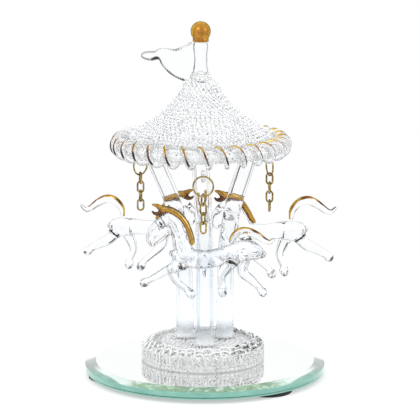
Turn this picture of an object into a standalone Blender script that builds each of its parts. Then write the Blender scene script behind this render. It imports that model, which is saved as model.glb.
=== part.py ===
"""Spun-glass carousel ornament on a bevelled mirror. Metres, +Z up.

The floor is z = 0. The origin is the middle of the whole ornament's box, and the mirror stands a
little left of it, because the right-hand horse's tail reaches further out than the left-hand one's.
The "carousel" empty is the mirror's middle on the floor, and the "canopy" empty the rim's middle.
Three clear pillars flare from a coiled drum to a tent canopy, and a clear horse is fused beside
each. Three chains of one ring and four links hang from glass eyelets under the canopy's rim.
"""

import math

import bmesh
import bpy
from mathutils import Vector

MM = 0.001
GAP = 0.3 * MM  # between pieces that touch

# Base
MIRROR_X = -1.5 * MM
MIRROR_RADIUS = 50.0 * MM
MIRROR_THICKNESS = 3.5 * MM
BEVEL_WIDTH = 4.5 * MM
BEVEL_DROP = 1.2 * MM
BACKING_THICKNESS = 0.6 * MM
BACKING_INSET = 0.5 * MM
PAD_RADIUS = 10.0 * MM
PAD_THICKNESS = 1.5 * MM
PAD_CHAMFER = 0.3 * MM
PAD_EDGE = 1.0 * MM  # from the mirror's edge
PAD_COUNT = 3
PAD_FIRST_ANGLE = math.radians(-49.0)

# Drum
DRUM_X = -0.9 * MM
DRUM_RADIUS = 25.5 * MM
DRUM_COIL_RADIUS = 3.6 * MM  # to the outside of the wire
DRUM_WIRE = 0.7 * MM
DRUM_TURNS = 30
DRUM_SQUARENESS = 0.55  # 1 is a round coil, and less has straighter walls
DISC_HEIGHT = 7.3 * MM
DISC_CROWN = 0.6 * MM

# Pillars
PILLAR_COUNT = 3
PILLAR_FIRST_ANGLE = math.radians(-90.0)
PILLAR_CIRCLE = 9.6 * MM
PILLAR_FOOT_RADIUS = 3.7 * MM
PILLAR_TOP_RADIUS = 2.9 * MM
PILLAR_TRIM_CLEARANCE = 0.8 * MM
PILLAR_SIDES_RESOLUTION = 3
# share of the height, share of the flare
PILLAR_FLARE = (
    (0.00, 0.00), (0.28, 0.02), (0.45, 0.08), (0.56, 0.19), (0.65, 0.33),
    (0.72, 0.49), (0.79, 0.68), (0.86, 0.86), (0.93, 0.96), (1.00, 1.00),
)

# Canopy
CANOPY_X = -1.7 * MM
RIM_HEIGHT = 82.3 * MM  # from the pillars' feet to the middle of the rim
RIM_CIRCLE = 32.7 * MM
RIM_RADIUS = 1.8 * MM
TRIM_RADIUS = 4.8 * MM  # to the outside of the wire
TRIM_WIRE = 0.95 * MM
TRIM_TURNS = 28
TENT_WALL = 1.5 * MM
TENT_TOP_RADIUS = 6.8 * MM
TENT_HEIGHT = 22.5 * MM
TENT_EDGE_CLEARANCE = 0.4 * MM
# share of the way out, share of the height
TENT_OUTLINE = (
    (0.00, 1.00), (0.07, 0.844), (0.166, 0.716), (0.37, 0.489), (0.63, 0.307),
    (0.84, 0.171), (1.00, 0.00),
)

# Finial
COLLAR_RADIUS = 4.6 * MM
COLLAR_HEIGHT = 2.9 * MM
MAST_RADIUS = 3.2 * MM
MAST_WAIST = 2.7 * MM
MAST_HEIGHT = 12.6 * MM
BALL_RADIUS = 4.2 * MM
# share of the radius, share of the height
COLLAR_OUTLINE = ((0.85, 0.0), (1.0, 0.25), (1.0, 0.6))
# share of the height, share of the way from the waist to the full radius
MAST_OUTLINE = ((0.0, 1.0), (0.1, 1.0), (0.5, 0.0), (0.85, 1.0), (1.0, 0.4))
PENNANT_THICKNESS = 2.4 * MM
PENNANT_LENGTH = 21.0 * MM
PENNANT_HEIGHT = 15.6 * MM
# share of the length from the mast, share of the height: a waved flag with a round tip
PENNANT_OUTLINE = (
    (0.00, 1.00), (0.12, 0.90), (0.31, 0.81), (0.51, 0.86), (0.64, 0.85), (0.74, 0.77),
    (0.86, 0.76), (0.96, 0.73), (1.00, 0.66), (0.93, 0.59), (0.81, 0.56), (0.71, 0.60),
    (0.64, 0.56), (0.57, 0.41), (0.45, 0.23), (0.31, 0.10), (0.14, 0.00),
)

# Chains
# Where each hangs round the rim, how far inside its circle, and which way the ring faces.
CHAINS = (
    {"angle": math.radians(-88.0), "inset": 1.7 * MM, "across": math.radians(0.0)},
    {"angle": math.radians(28.0), "inset": 0.2 * MM, "across": math.radians(109.0)},
    {"angle": math.radians(146.0), "inset": 2.2 * MM, "across": math.radians(228.0)},
)
EYELET_WIRE = 0.9 * MM
EYELET_WIDTH = 2.6 * MM
EYELET_ROOM = 0.45 * MM  # above the ring's wire, inside the eyelet
RING_RADIUS = 4.05 * MM  # to the middle of the wire
RING_WIRE = 0.35 * MM
LINK_COUNT = 4
LINK_LENGTH = 5.3 * MM
LINK_WIDTH = 3.2 * MM
LINK_WIRE = 0.3 * MM
FIRST_LINK_TURN = math.radians(60.0)  # from its ring
LINK_TURN = math.radians(90.0)  # from one link to the next, this way and back

# Horses: forward, up and radius along each limb, in units of HORSE_UNIT from the barrel's middle.
HORSE_UNIT = 1.0 * MM
LEG_SPREAD = 1.9  # sideways, from the middle to a leg
FRONT_HORSE = {
    "spine": ((-21.8, 2.2, 1.6), (-19.5, 2.9, 3.3), (-15.0, 4.0, 4.4), (-8.0, 2.2, 3.9),
              (1.0, 0.2, 3.8), (9.0, 0.8, 4.1), (13.5, 2.2, 3.2), (15.3, 2.6, 1.4)),
    "neck": ((9.0, 1.5, 3.6), (11.5, 6.0, 3.5), (12.8, 11.0, 2.9), (15.0, 15.6, 2.5),
             (17.2, 17.8, 2.0)),
    "head": ((15.6, 17.6, 1.5), (17.6, 16.2, 2.7), (19.8, 12.9, 2.5), (21.8, 9.4, 1.7),
             (22.8, 7.3, 1.4)),
    "fore_stretched": ((9.8, -1.3, 2.6), (16.3, -3.5, 2.0), (21.2, -6.3, 1.6), (24.4, -8.1, 1.4),
                       (26.0, -9.0, 1.8)),
    "fore_swept": ((12.9, -0.8, 2.5), (15.3, -5.4, 1.9), (13.4, -9.6, 1.6), (9.8, -12.5, 1.4),
                   (7.3, -14.6, 1.8)),
    "hind_stretched": ((-14.5, 2.0, 3.2), (-13.4, -5.0, 2.4), (-17.1, -8.8, 1.9),
                       (-20.0, -11.7, 1.5), (-22.0, -13.8, 1.9)),
    "hind_down": ((-10.5, 1.5, 3.2), (-6.5, -3.8, 2.3), (-4.9, -7.1, 1.8), (-5.3, -10.4, 1.5),
                  (-5.7, -12.9, 1.9)),
    "mane": ((23.0, 22.9, 0.5), (21.0, 22.0, 1.0), (18.6, 21.6, 1.1), (16.2, 21.2, 1.1),
             (13.2, 19.3, 1.2), (10.6, 16.6, 1.2), (8.5, 12.8, 1.2), (7.4, 9.2, 1.0),
             (7.2, 7.0, 0.6)),
    "tail": ((-8.8, 7.3, 1.0), (-9.9, 9.8, 1.4), (-12.4, 11.8, 1.6), (-15.6, 11.9, 1.7),
             (-19.2, 10.3, 1.6), (-22.2, 8.2, 1.3), (-24.6, 7.2, 1.0), (-26.4, 8.6, 0.6)),
}
SIDE_HORSE = {
    "spine": ((-17.0, -0.3, 1.5), (-15.5, -0.4, 3.2), (-12.0, -0.6, 4.2), (-6.0, 0.1, 3.5),
              (1.0, 0.0, 3.2), (8.0, 0.8, 3.5), (12.2, 1.6, 2.9), (13.9, 1.8, 1.3)),
    "neck": ((8.6, 1.5, 3.1), (11.0, 5.0, 2.9), (12.6, 8.8, 2.5), (14.8, 12.0, 2.2),
             (16.8, 13.4, 1.8)),
    "head": ((15.4, 13.4, 1.4), (17.2, 12.0, 2.3), (19.2, 8.8, 2.1), (20.8, 5.4, 1.5),
             (21.6, 3.4, 1.3)),
    "fore_stretched": ((10.0, -0.5, 2.3), (15.5, -4.0, 1.9), (19.5, -8.0, 1.6),
                       (22.8, -12.0, 1.4), (24.8, -14.4, 1.8)),
    "fore_swept": ((9.5, -1.0, 2.2), (8.5, -6.5, 1.9), (4.5, -10.5, 1.6), (0.5, -14.0, 1.4),
                   (-2.0, -16.8, 1.8)),
    "hind_stretched": ((-13.0, -2.0, 2.9), (-16.5, -6.0, 2.4), (-20.5, -8.0, 2.1),
                       (-24.5, -10.4, 1.7), (-27.0, -12.0, 2.0)),
    "hind_down": ((-10.5, -2.0, 2.9), (-8.0, -6.5, 2.2), (-6.8, -10.5, 1.7), (-8.4, -14.5, 1.5),
                  (-9.2, -17.2, 1.9)),
    "mane": ((21.9, 18.2, 0.5), (20.2, 17.4, 0.9), (18.0, 17.0, 1.1), (15.4, 16.4, 1.1),
             (12.6, 14.8, 1.1), (10.1, 12.0, 1.1), (8.0, 8.9, 1.1), (6.9, 6.4, 0.6)),
    "tail": ((-10.9, 4.7, 1.0), (-11.6, 8.0, 1.5), (-14.4, 10.8, 1.8), (-18.3, 11.5, 1.9),
             (-22.4, 9.6, 1.7), (-26.2, 6.8, 1.3), (-28.6, 6.0, 1.0), (-30.8, 7.6, 0.6)),
}
# Where each horse stands: its shape and size, how far its middle is below the chains' ends, which way
# it heads, how far ahead of its middle the pillar is, how high the two touch and how thick it is there.
HORSES = (
    {"shape": FRONT_HORSE, "size": 1.0, "drop": 13.25 * MM, "heading": math.radians(180.0),
     "abreast": 2.0 * MM, "touch_up": 0.0, "girth": 3.9 * MM, "side": 1.0},
    {"shape": SIDE_HORSE, "size": 1.05, "drop": 9.45 * MM, "heading": math.radians(202.0),
     "abreast": 17.5 * MM, "touch_up": 12.6, "girth": 2.5 * MM, "side": -1.0},
    {"shape": SIDE_HORSE, "size": 0.97, "drop": 7.45 * MM, "heading": math.radians(-22.0),
     "abreast": 15.0 * MM, "touch_up": 12.6, "girth": 2.4 * MM, "side": 1.0},
)

# Heights above the floor
BACKING_Z = PAD_THICKNESS + GAP
MIRROR_Z = BACKING_Z + BACKING_THICKNESS + GAP
MIRROR_TOP = MIRROR_Z + MIRROR_THICKNESS
DRUM_Z = MIRROR_TOP + GAP
PILLAR_Z = DRUM_Z + DISC_HEIGHT + DISC_CROWN + GAP
RIM_Z = PILLAR_Z + RIM_HEIGHT

# Smoothness
SHARP_ANGLE = math.radians(35.0)
COIL_OPENING_ANGLE = math.radians(90.0)  # at the back
WIRE_RESOLUTION = 1
EYELET_RESOLUTION = 2
LIMB_RESOLUTION = 1
NECK_RESOLUTION = 2
SPINE_RESOLUTION = 3
LIMB_STEP_COUNT = 2
RIM_SIDE_COUNT = 8
BALL_BAND_COUNT = 8
ROUND_SIDE_COUNT = 32
MIRROR_SIDE_COUNT = 56
SMALL_SIDE_COUNT = 20
CURL_POINT_COUNT = 8
EYELET_POINT_COUNT = 16
RING_POINT_COUNT = 20
LINK_POINT_COUNT = 12


def clear_scene():
    for obj in list(bpy.data.objects):
        bpy.data.objects.remove(obj, do_unlink=True)


def make_material(name, colour, roughness, metallic=0.0, transmission=0.0):
    material = bpy.data.materials.new(name)
    material.use_nodes = True
    shader = material.node_tree.nodes["Principled BSDF"]
    shader.inputs["Base Color"].default_value = (*colour, 1.0)
    shader.inputs["Roughness"].default_value = roughness
    shader.inputs["Metallic"].default_value = metallic
    shader.inputs["Transmission Weight"].default_value = transmission
    material.diffuse_color = (*colour, 1.0)
    return material


def make_empty(name, location, parent=None):
    empty = bpy.data.objects.new(name, None)
    empty.location = location
    empty.parent = parent
    bpy.context.scene.collection.objects.link(empty)
    return empty


def place(name, data, material, parent, location=(0.0, 0.0, 0.0), turn=0.0):
    obj = bpy.data.objects.new(name, data)
    bpy.context.scene.collection.objects.link(obj)
    obj.parent = parent
    obj.location = location
    obj.rotation_euler = (0.0, 0.0, turn)
    data.materials.append(material)
    return obj


def turned_mesh(name, outline, steps):
    """A profile of (radius, height) turned about Z. The profile runs from the axis to the axis."""
    bm = bmesh.new()
    points = [bm.verts.new((radius, 0.0, height)) for radius, height in outline]
    edges = [bm.edges.new(pair) for pair in zip(points, points[1:])]
    if outline[0][0] > 0.0:
        edges.append(bm.edges.new((points[-1], points[0])))
    bmesh.ops.spin(bm, geom=points + edges, axis=(0, 0, 1), cent=(0, 0, 0),
                   angle=2 * math.pi, steps=steps, use_merge=True)
    bmesh.ops.remove_doubles(bm, verts=bm.verts, dist=0.001 * MM)
    bmesh.ops.recalc_face_normals(bm, faces=bm.faces)
    mesh = bpy.data.meshes.new(name)
    bm.to_mesh(mesh)
    bm.free()
    mesh.shade_smooth()
    mesh.set_sharp_from_angle(angle=SHARP_ANGLE)
    return mesh


def rod_curve(name, points, radii, resolution, cyclic=False):
    """A round rod along the points, with a radius at each."""
    curve = bpy.data.curves.new(name, "CURVE")
    curve.dimensions = "3D"
    curve.bevel_depth = 1.0 * MM
    curve.bevel_resolution = resolution
    curve.use_fill_caps = not cyclic
    spline = curve.splines.new("POLY")
    spline.points.add(len(points) - 1)
    for point, place_, radius in zip(spline.points, points, radii):
        point.co = (*place_, 1.0)
        point.radius = radius / curve.bevel_depth
    spline.use_cyclic_u = cyclic
    return curve


def smooth_points(points, steps):
    """A Catmull-Rom line through points of any number of values, with steps between each pair."""
    ends = [2 * points[0] - points[1], *points, 2 * points[-1] - points[-2]]
    line = []
    for before, start, end, after in zip(ends, ends[1:], ends[2:], ends[3:]):
        for step in range(steps):
            t = step / steps
            line.append(0.5 * (2 * start + (end - before) * t
                               + (2 * before - 5 * start + 4 * end - after) * t * t
                               + (3 * start - before - 3 * end + after) * t * t * t))
    return line + [points[-1]]


def share_along(pairs, share):
    """The second value at this share of the first, in straight steps."""
    for (low, first), (high, second) in zip(pairs, pairs[1:]):
        if share <= high:
            return first + (second - first) * (share - low) / (high - low)
    return pairs[-1][1]


def least_self_gap(points, wire, turn_points):
    """The least clear distance between turns of a coil, from its points."""
    least = math.inf
    for i, point in enumerate(points):
        for other in points[i + turn_points // 2 + 1:]:
            least = min(least, (point - other).length)
    return least - 2 * wire


def squared(value, squareness):
    return math.copysign(abs(value) ** squareness, value)


def coil_points(circle, coil_radius, wire, turns, start_angle, squareness):
    """A rod coiled round a ring, open at start_angle, its two ends straight for one diameter."""
    points = []
    reach = coil_radius - wire
    opening = math.pi / turns
    count = turns * CURL_POINT_COUNT
    for i in range(count + 1):
        round_ring = start_angle + opening / 2 + (2 * math.pi - opening) * i / count
        round_coil = math.pi / 2 - 2 * math.pi * turns * i / count
        radius = circle + reach * squared(math.cos(round_coil), squareness)
        points.append(Vector((radius * math.cos(round_ring), radius * math.sin(round_ring),
                              reach * squared(math.sin(round_coil), squareness))))
    first = (points[0] - points[1]).normalized()
    last = (points[-1] - points[-2]).normalized()
    return [points[0] + first * 2 * wire, *points, points[-1] + last * 2 * wire]


def make_coil(name, shape, material, parent, location):
    """shape: the ring's circle, the coil's radius, the wire's radius, the turns, the squareness."""
    circle, coil_radius, wire, turns, squareness = shape
    points = coil_points(circle, coil_radius, wire, turns, COIL_OPENING_ANGLE, squareness)
    gap = least_self_gap(points, wire, CURL_POINT_COUNT)
    print(f"{name}: {turns} curls, least gap to itself {gap / MM:.2f} mm")
    curve = rod_curve(name, points, [wire] * len(points), WIRE_RESOLUTION)
    place(name, curve, material, parent, location)


def tent_profiles():
    """The tent's outer and inner lines from top to edge, in heights above the rim's middle."""
    edge_reach = (TRIM_RADIUS + TENT_EDGE_CLEARANCE) * math.sqrt(0.5)
    edge_radius = RIM_CIRCLE - edge_reach
    outer = [(TENT_TOP_RADIUS + (edge_radius - TENT_TOP_RADIUS) * out,
              edge_reach + TENT_HEIGHT * up) for out, up in TENT_OUTLINE]
    inner = []
    for i, (radius, height) in enumerate(outer):
        before, after = outer[max(i - 1, 0)], outer[min(i + 1, len(outer) - 1)]
        along = Vector((after[0] - before[0], after[1] - before[1])).normalized()
        inner.append((radius + along.y * TENT_WALL, height - along.x * TENT_WALL))
    return outer, inner[1:]


def pillar_height():
    """Up to the tent's inner face, as it is above the outer side of a pillar."""
    reach = RIM_CIRCLE - TRIM_RADIUS - PILLAR_TRIM_CLEARANCE
    _, inner = tent_profiles()
    return RIM_HEIGHT + share_along(inner, min(reach, inner[-1][0])) - GAP


def pillar_point(index, height):
    """The middle of a pillar at a height above its foot."""
    flare = share_along(PILLAR_FLARE, height / pillar_height())
    top_circle = RIM_CIRCLE - TRIM_RADIUS - PILLAR_TRIM_CLEARANCE - PILLAR_TOP_RADIUS
    circle = PILLAR_CIRCLE + (top_circle - PILLAR_CIRCLE) * flare
    angle = PILLAR_FIRST_ANGLE + index * 2 * math.pi / PILLAR_COUNT
    return Vector((circle * math.cos(angle) + CANOPY_X * flare, circle * math.sin(angle), height))


def pillar_radius(height):
    share = height / pillar_height()
    return PILLAR_FOOT_RADIUS + (PILLAR_TOP_RADIUS - PILLAR_FOOT_RADIUS) * share


def make_base(materials, carousel):
    glass = [(0, 0), (MIRROR_RADIUS, 0), (MIRROR_RADIUS, MIRROR_THICKNESS - BEVEL_DROP),
             (MIRROR_RADIUS - BEVEL_WIDTH, MIRROR_THICKNESS), (0, MIRROR_THICKNESS)]
    place("mirror_glass", turned_mesh("mirror_glass", glass, MIRROR_SIDE_COUNT), materials["mirror"],
          carousel, (0, 0, MIRROR_Z))
    backing_radius = MIRROR_RADIUS - BACKING_INSET
    backing = [(0, 0), (backing_radius, 0), (backing_radius, BACKING_THICKNESS),
               (0, BACKING_THICKNESS)]
    place("mirror_backing", turned_mesh("mirror_backing", backing, MIRROR_SIDE_COUNT),
          materials["backing"], carousel, (0, 0, BACKING_Z))
    pad = [(0, 0), (PAD_RADIUS - PAD_CHAMFER, 0), (PAD_RADIUS, PAD_CHAMFER),
           (PAD_RADIUS, PAD_THICKNESS), (0, PAD_THICKNESS)]
    pad_circle = MIRROR_RADIUS - PAD_EDGE - PAD_RADIUS
    for i in range(PAD_COUNT):
        angle = PAD_FIRST_ANGLE + i * 2 * math.pi / PAD_COUNT
        name = f"foot_pad_{i + 1}"
        place(name, turned_mesh(name, pad, ROUND_SIDE_COUNT), materials["pad"], carousel,
              (pad_circle * math.cos(angle), pad_circle * math.sin(angle), 0))


def make_drum(materials, carousel):
    roll = (DRUM_RADIUS - DRUM_COIL_RADIUS, DRUM_COIL_RADIUS, DRUM_WIRE, DRUM_TURNS, DRUM_SQUARENESS)
    make_coil("base_roll", roll, materials["spun_glass"], carousel,
              (DRUM_X, 0, DRUM_Z + DRUM_COIL_RADIUS))
    disc_radius = DRUM_RADIUS - 2 * DRUM_COIL_RADIUS - GAP
    flat = PILLAR_CIRCLE + PILLAR_FOOT_RADIUS - DRUM_X
    disc = [(0, 0), (disc_radius, 0), (disc_radius, DISC_HEIGHT - DISC_CROWN),
            ((disc_radius + flat) / 2, DISC_HEIGHT), (flat, DISC_HEIGHT + DISC_CROWN),
            (0, DISC_HEIGHT + DISC_CROWN)]
    place("base_disc", turned_mesh("base_disc", disc, ROUND_SIDE_COUNT), materials["spun_glass"],
          carousel, (DRUM_X, 0, DRUM_Z))


def make_pillars(materials, carousel):
    heights = [share * pillar_height() for share, _ in PILLAR_FLARE]
    for i in range(PILLAR_COUNT):
        name = f"pillar_{i + 1}"
        points = [pillar_point(i, height) for height in heights]
        radii = [pillar_radius(height) for height in heights]
        curve = rod_curve(name, points, radii, PILLAR_SIDES_RESOLUTION)
        place(name, curve, materials["clear_glass"], carousel, (0, 0, PILLAR_Z))


def make_canopy(materials, canopy):
    ring = [(RIM_CIRCLE + RIM_RADIUS * math.cos(a), RIM_RADIUS * math.sin(a))
            for a in (2 * math.pi * i / RIM_SIDE_COUNT for i in range(RIM_SIDE_COUNT))]
    place("canopy_rim", turned_mesh("canopy_rim", ring, ROUND_SIDE_COUNT), materials["clear_glass"],
          canopy)
    trim = (RIM_CIRCLE, TRIM_RADIUS, TRIM_WIRE, TRIM_TURNS, 1.0)
    make_coil("canopy_trim", trim, materials["gilt_glass"], canopy, (0, 0, 0))
    outer, inner = tent_profiles()
    tent = [(0, outer[0][1]), *outer, *reversed(inner), (0, inner[0][1])]
    place("canopy_shell", turned_mesh("canopy_shell", tent, ROUND_SIDE_COUNT),
          materials["spun_glass"], canopy)


def make_pennant(materials, canopy, foot, step):
    """The flag's inner edge lies along the mast, and steps round the collar."""
    bm = bmesh.new()
    start = -(MAST_RADIUS + GAP)
    outline = [(start - PENNANT_LENGTH * out, PENNANT_HEIGHT * up) for out, up in PENNANT_OUTLINE]
    outline += [(-(COLLAR_RADIUS + GAP), 0), (-(COLLAR_RADIUS + GAP), step), (start, step)]
    points = [bm.verts.new((out, -PENNANT_THICKNESS / 2, up)) for out, up in outline]
    face = bm.faces.new(points)
    side = bmesh.ops.extrude_face_region(bm, geom=[face])
    moved = [v for v in side["geom"] if isinstance(v, bmesh.types.BMVert)]
    bmesh.ops.translate(bm, verts=moved, vec=(0, PENNANT_THICKNESS, 0))
    bmesh.ops.recalc_face_normals(bm, faces=bm.faces)
    mesh = bpy.data.meshes.new("pennant")
    bm.to_mesh(mesh)
    bm.free()
    place("pennant", mesh, materials["clear_glass"], canopy, (0, 0, foot))


def make_finial(materials, canopy):
    outer, _ = tent_profiles()
    collar_z = outer[0][1] + GAP
    collar = [(0, 0), *((COLLAR_RADIUS * out, COLLAR_HEIGHT * up) for out, up in COLLAR_OUTLINE),
              (MAST_RADIUS, COLLAR_HEIGHT), (0, COLLAR_HEIGHT)]
    place("finial_collar", turned_mesh("finial_collar", collar, ROUND_SIDE_COUNT),
          materials["clear_glass"], canopy, (0, 0, collar_z))
    mast_z = collar_z + COLLAR_HEIGHT + GAP
    mast = [(0, 0), *((MAST_WAIST + (MAST_RADIUS - MAST_WAIST) * out, MAST_HEIGHT * up)
                      for up, out in MAST_OUTLINE), (0, MAST_HEIGHT)]
    place("finial_mast", turned_mesh("finial_mast", mast, SMALL_SIDE_COUNT),
          materials["clear_glass"], canopy, (0, 0, mast_z))
    ball_z = mast_z + MAST_HEIGHT + GAP + BALL_RADIUS
    round_ball = [math.pi * i / BALL_BAND_COUNT for i in range(1, BALL_BAND_COUNT)]
    ball = [(0, -BALL_RADIUS),
            *((BALL_RADIUS * math.sin(a), -BALL_RADIUS * math.cos(a)) for a in round_ball),
            (0, BALL_RADIUS)]
    place("finial_ball", turned_mesh("finial_ball", ball, SMALL_SIDE_COUNT), materials["gilt"], canopy,
          (0, 0, ball_z))
    make_pennant(materials, canopy, collar_z, COLLAR_HEIGHT + GAP)


def oval_points(length, width, count):
    """A stadium in the XZ plane: two half rounds joined by straight sides."""
    radius = width / 2
    straight = length / 2 - radius
    points = []
    for half, centre in ((0, straight), (1, -straight)):
        for i in range(count // 2):
            angle = math.pi * half + math.pi * i / (count // 2 - 1)
            points.append(Vector((radius * math.cos(angle), 0, centre + radius * math.sin(angle))))
    return points


def chain_places():
    """Where each piece of a chain hangs, as heights above the rim's middle."""
    eyelet_top = -TRIM_RADIUS - GAP - EYELET_WIRE
    eyelet_hole = 2 * RING_WIRE + GAP + EYELET_ROOM
    eyelet_bottom = eyelet_top - 2 * EYELET_WIRE - eyelet_hole
    ring_top = eyelet_bottom + EYELET_WIRE + GAP + RING_WIRE
    ring_bottom = ring_top - 2 * RING_RADIUS
    link_span = LINK_LENGTH - 2 * LINK_WIRE
    link_tops, holder, holder_wire = [], ring_bottom, RING_WIRE
    for _ in range(LINK_COUNT):
        top = holder + holder_wire + GAP + LINK_WIRE
        link_tops.append(top)
        holder, holder_wire = top - link_span, LINK_WIRE
    return eyelet_top, eyelet_bottom, ring_top, link_span, link_tops


def make_chains(materials, canopy):
    eyelet_top, eyelet_bottom, ring_top, link_span, link_tops = chain_places()
    for i, chain in enumerate(CHAINS):
        angle, across = chain["angle"], chain["across"]
        spot = Vector((math.cos(angle), math.sin(angle), 0)) * (RIM_CIRCLE - chain["inset"])
        eyelet = oval_points(eyelet_top - eyelet_bottom, EYELET_WIDTH, EYELET_POINT_COUNT)
        curve = rod_curve(f"eyelet_{i + 1}", eyelet, [EYELET_WIRE] * len(eyelet), EYELET_RESOLUTION,
                          cyclic=True)
        place(f"eyelet_{i + 1}", curve, materials["clear_glass"], canopy,
              spot + Vector((0, 0, (eyelet_top + eyelet_bottom) / 2)), across + math.pi / 2)

        # The ring's origin is on the eyelet's lower rod, which it swings about.
        ring_middle = ring_top - RING_RADIUS - eyelet_bottom
        round_ring = [2 * math.pi * step / RING_POINT_COUNT for step in range(RING_POINT_COUNT)]
        ring = [Vector((RING_RADIUS * math.cos(a), 0, ring_middle + RING_RADIUS * math.sin(a)))
                for a in round_ring]
        curve = rod_curve(f"chain_{i + 1}_ring", ring, [RING_WIRE] * len(ring), WIRE_RESOLUTION,
                          cyclic=True)
        holder = place(f"chain_{i + 1}_ring", curve, materials["gilt"], canopy,
                       spot + Vector((0, 0, eyelet_bottom)), across)
        pivot = eyelet_bottom

        # Each link's origin is on the lower wire of the piece above, which it swings about.
        pivots = [ring_top - 2 * RING_RADIUS] + [top - link_span for top in link_tops[:-1]]
        for j, (top, link_pivot) in enumerate(zip(link_tops, pivots)):
            name = f"chain_{i + 1}_link_{j + 1}"
            lift = Vector((0, 0, top - link_span / 2 - link_pivot))
            link = [point + lift for point in
                    oval_points(link_span, LINK_WIDTH - 2 * LINK_WIRE, LINK_POINT_COUNT)]
            curve = rod_curve(name, link, [LINK_WIRE] * len(link), WIRE_RESOLUTION, cyclic=True)
            turn = FIRST_LINK_TURN if j == 0 else LINK_TURN * (-1) ** j
            holder = place(name, curve, materials["gilt"], holder,
                           (0, 0, link_pivot - pivot), turn)
            pivot = link_pivot


def limb(name, shape, side, resolution):
    """A tapering limb of a horse, from forward, up and radius values."""
    line = smooth_points([Vector(point) for point in shape], LIMB_STEP_COUNT)
    points = [Vector((forward, side, up)) * HORSE_UNIT for forward, up, _ in line]
    radii = [radius * HORSE_UNIT for _, _, radius in line]
    return rod_curve(name, points, radii, resolution)


def mesh_of(curve):
    """The curve's surface as a mesh, its caps joined to its sides."""
    maker = bpy.data.objects.new(curve.name, curve)
    bpy.context.scene.collection.objects.link(maker)
    bpy.context.view_layer.update()
    mesh = bpy.data.meshes.new_from_object(maker.evaluated_get(bpy.context.evaluated_depsgraph_get()))
    bpy.data.objects.remove(maker)
    bm = bmesh.new()
    bm.from_mesh(mesh)
    bmesh.ops.remove_doubles(bm, verts=bm.verts, dist=0.001 * MM)
    bmesh.ops.recalc_face_normals(bm, faces=bm.faces)
    bm.to_mesh(mesh)
    bm.free()
    return mesh


def make_horse(index, horse, materials, carousel):
    shape, size = horse["shape"], horse["size"]
    _, _, _, link_span, link_tops = chain_places()
    height = RIM_HEIGHT + link_tops[-1] - link_span - LINK_WIRE - horse["drop"]
    touch = height + horse["touch_up"] * MM * size
    post = pillar_point(index, touch)
    heading = horse["heading"]
    ahead = Vector((math.cos(heading), math.sin(heading), 0))
    beside = Vector((-math.sin(heading), math.cos(heading), 0)) * horse["side"]
    clear = pillar_radius(touch) + horse["girth"] * size + GAP
    middle = post + beside * clear - ahead * horse["abreast"]
    stand = make_empty(f"horse_{index + 1}_stand",
                       (middle.x, middle.y, PILLAR_Z + height), carousel)
    stand.rotation_euler = (0, 0, heading)
    stand.scale = (size, size, size)

    name = f"horse_{index + 1}_body"
    far = LEG_SPREAD * horse["side"]
    parts = {"neck": 0.0, "head": 0.0, "fore_stretched": far, "fore_swept": -far,
             "hind_stretched": -far, "hind_down": far}
    limbs = bpy.data.collections.new(f"{name}_limbs")
    bpy.context.scene.collection.children.link(limbs)
    for part, side in parts.items():
        resolution = NECK_RESOLUTION if side == 0.0 else LIMB_RESOLUTION
        curve = limb(part, shape[part], side, resolution)
        helper = bpy.data.objects.new(f"{name}_{part}", mesh_of(curve))
        helper.parent = stand
        helper.hide_render = True
        helper.display_type = "WIRE"
        limbs.objects.link(helper)
    spine = mesh_of(limb(name, shape["spine"], 0.0, SPINE_RESOLUTION))
    body = place(name, spine, materials["clear_glass"], stand)
    body.data.shade_smooth()
    fuse = body.modifiers.new("fused_limbs", "BOOLEAN")
    fuse.operation = "UNION"
    fuse.solver = "EXACT"
    fuse.operand_type = "COLLECTION"
    fuse.collection = limbs
    for part in ("mane", "tail"):
        part_name = f"horse_{index + 1}_{part}"
        curve = limb(part_name, shape[part], 0.0, NECK_RESOLUTION)
        place(part_name, curve, materials["gilt_glass"], stand)


def main():
    clear_scene()
    materials = {
        "mirror": make_material("mirror", (0.80, 0.88, 0.86), 0.03, 1.0),
        "backing": make_material("backing", (0.24, 0.50, 0.42), 0.4),
        "pad": make_material("pad", (0.01, 0.015, 0.015), 0.7),
        "clear_glass": make_material("clear_glass", (0.95, 0.97, 0.98), 0.02, 0.0, 1.0),
        "spun_glass": make_material("spun_glass", (0.86, 0.89, 0.90), 0.12, 0.0, 0.5),
        "gilt_glass": make_material("gilt_glass", (0.62, 0.40, 0.10), 0.18, 0.7),
        "gilt": make_material("gilt", (0.72, 0.50, 0.16), 0.22, 1.0),
    }
    carousel = make_empty("carousel", (MIRROR_X, 0, 0))
    canopy = make_empty("canopy", (CANOPY_X, 0, RIM_Z), carousel)
    make_base(materials, carousel)
    make_drum(materials, carousel)
    make_pillars(materials, carousel)
    make_canopy(materials, canopy)
    make_finial(materials, canopy)
    make_chains(materials, canopy)
    for index, horse in enumerate(HORSES):
        make_horse(index, horse, materials, carousel)


main()
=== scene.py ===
import math
import random

import bmesh
import bpy
from mathutils import Matrix, Vector, kdtree
from mathutils import noise as mathNoise


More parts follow.
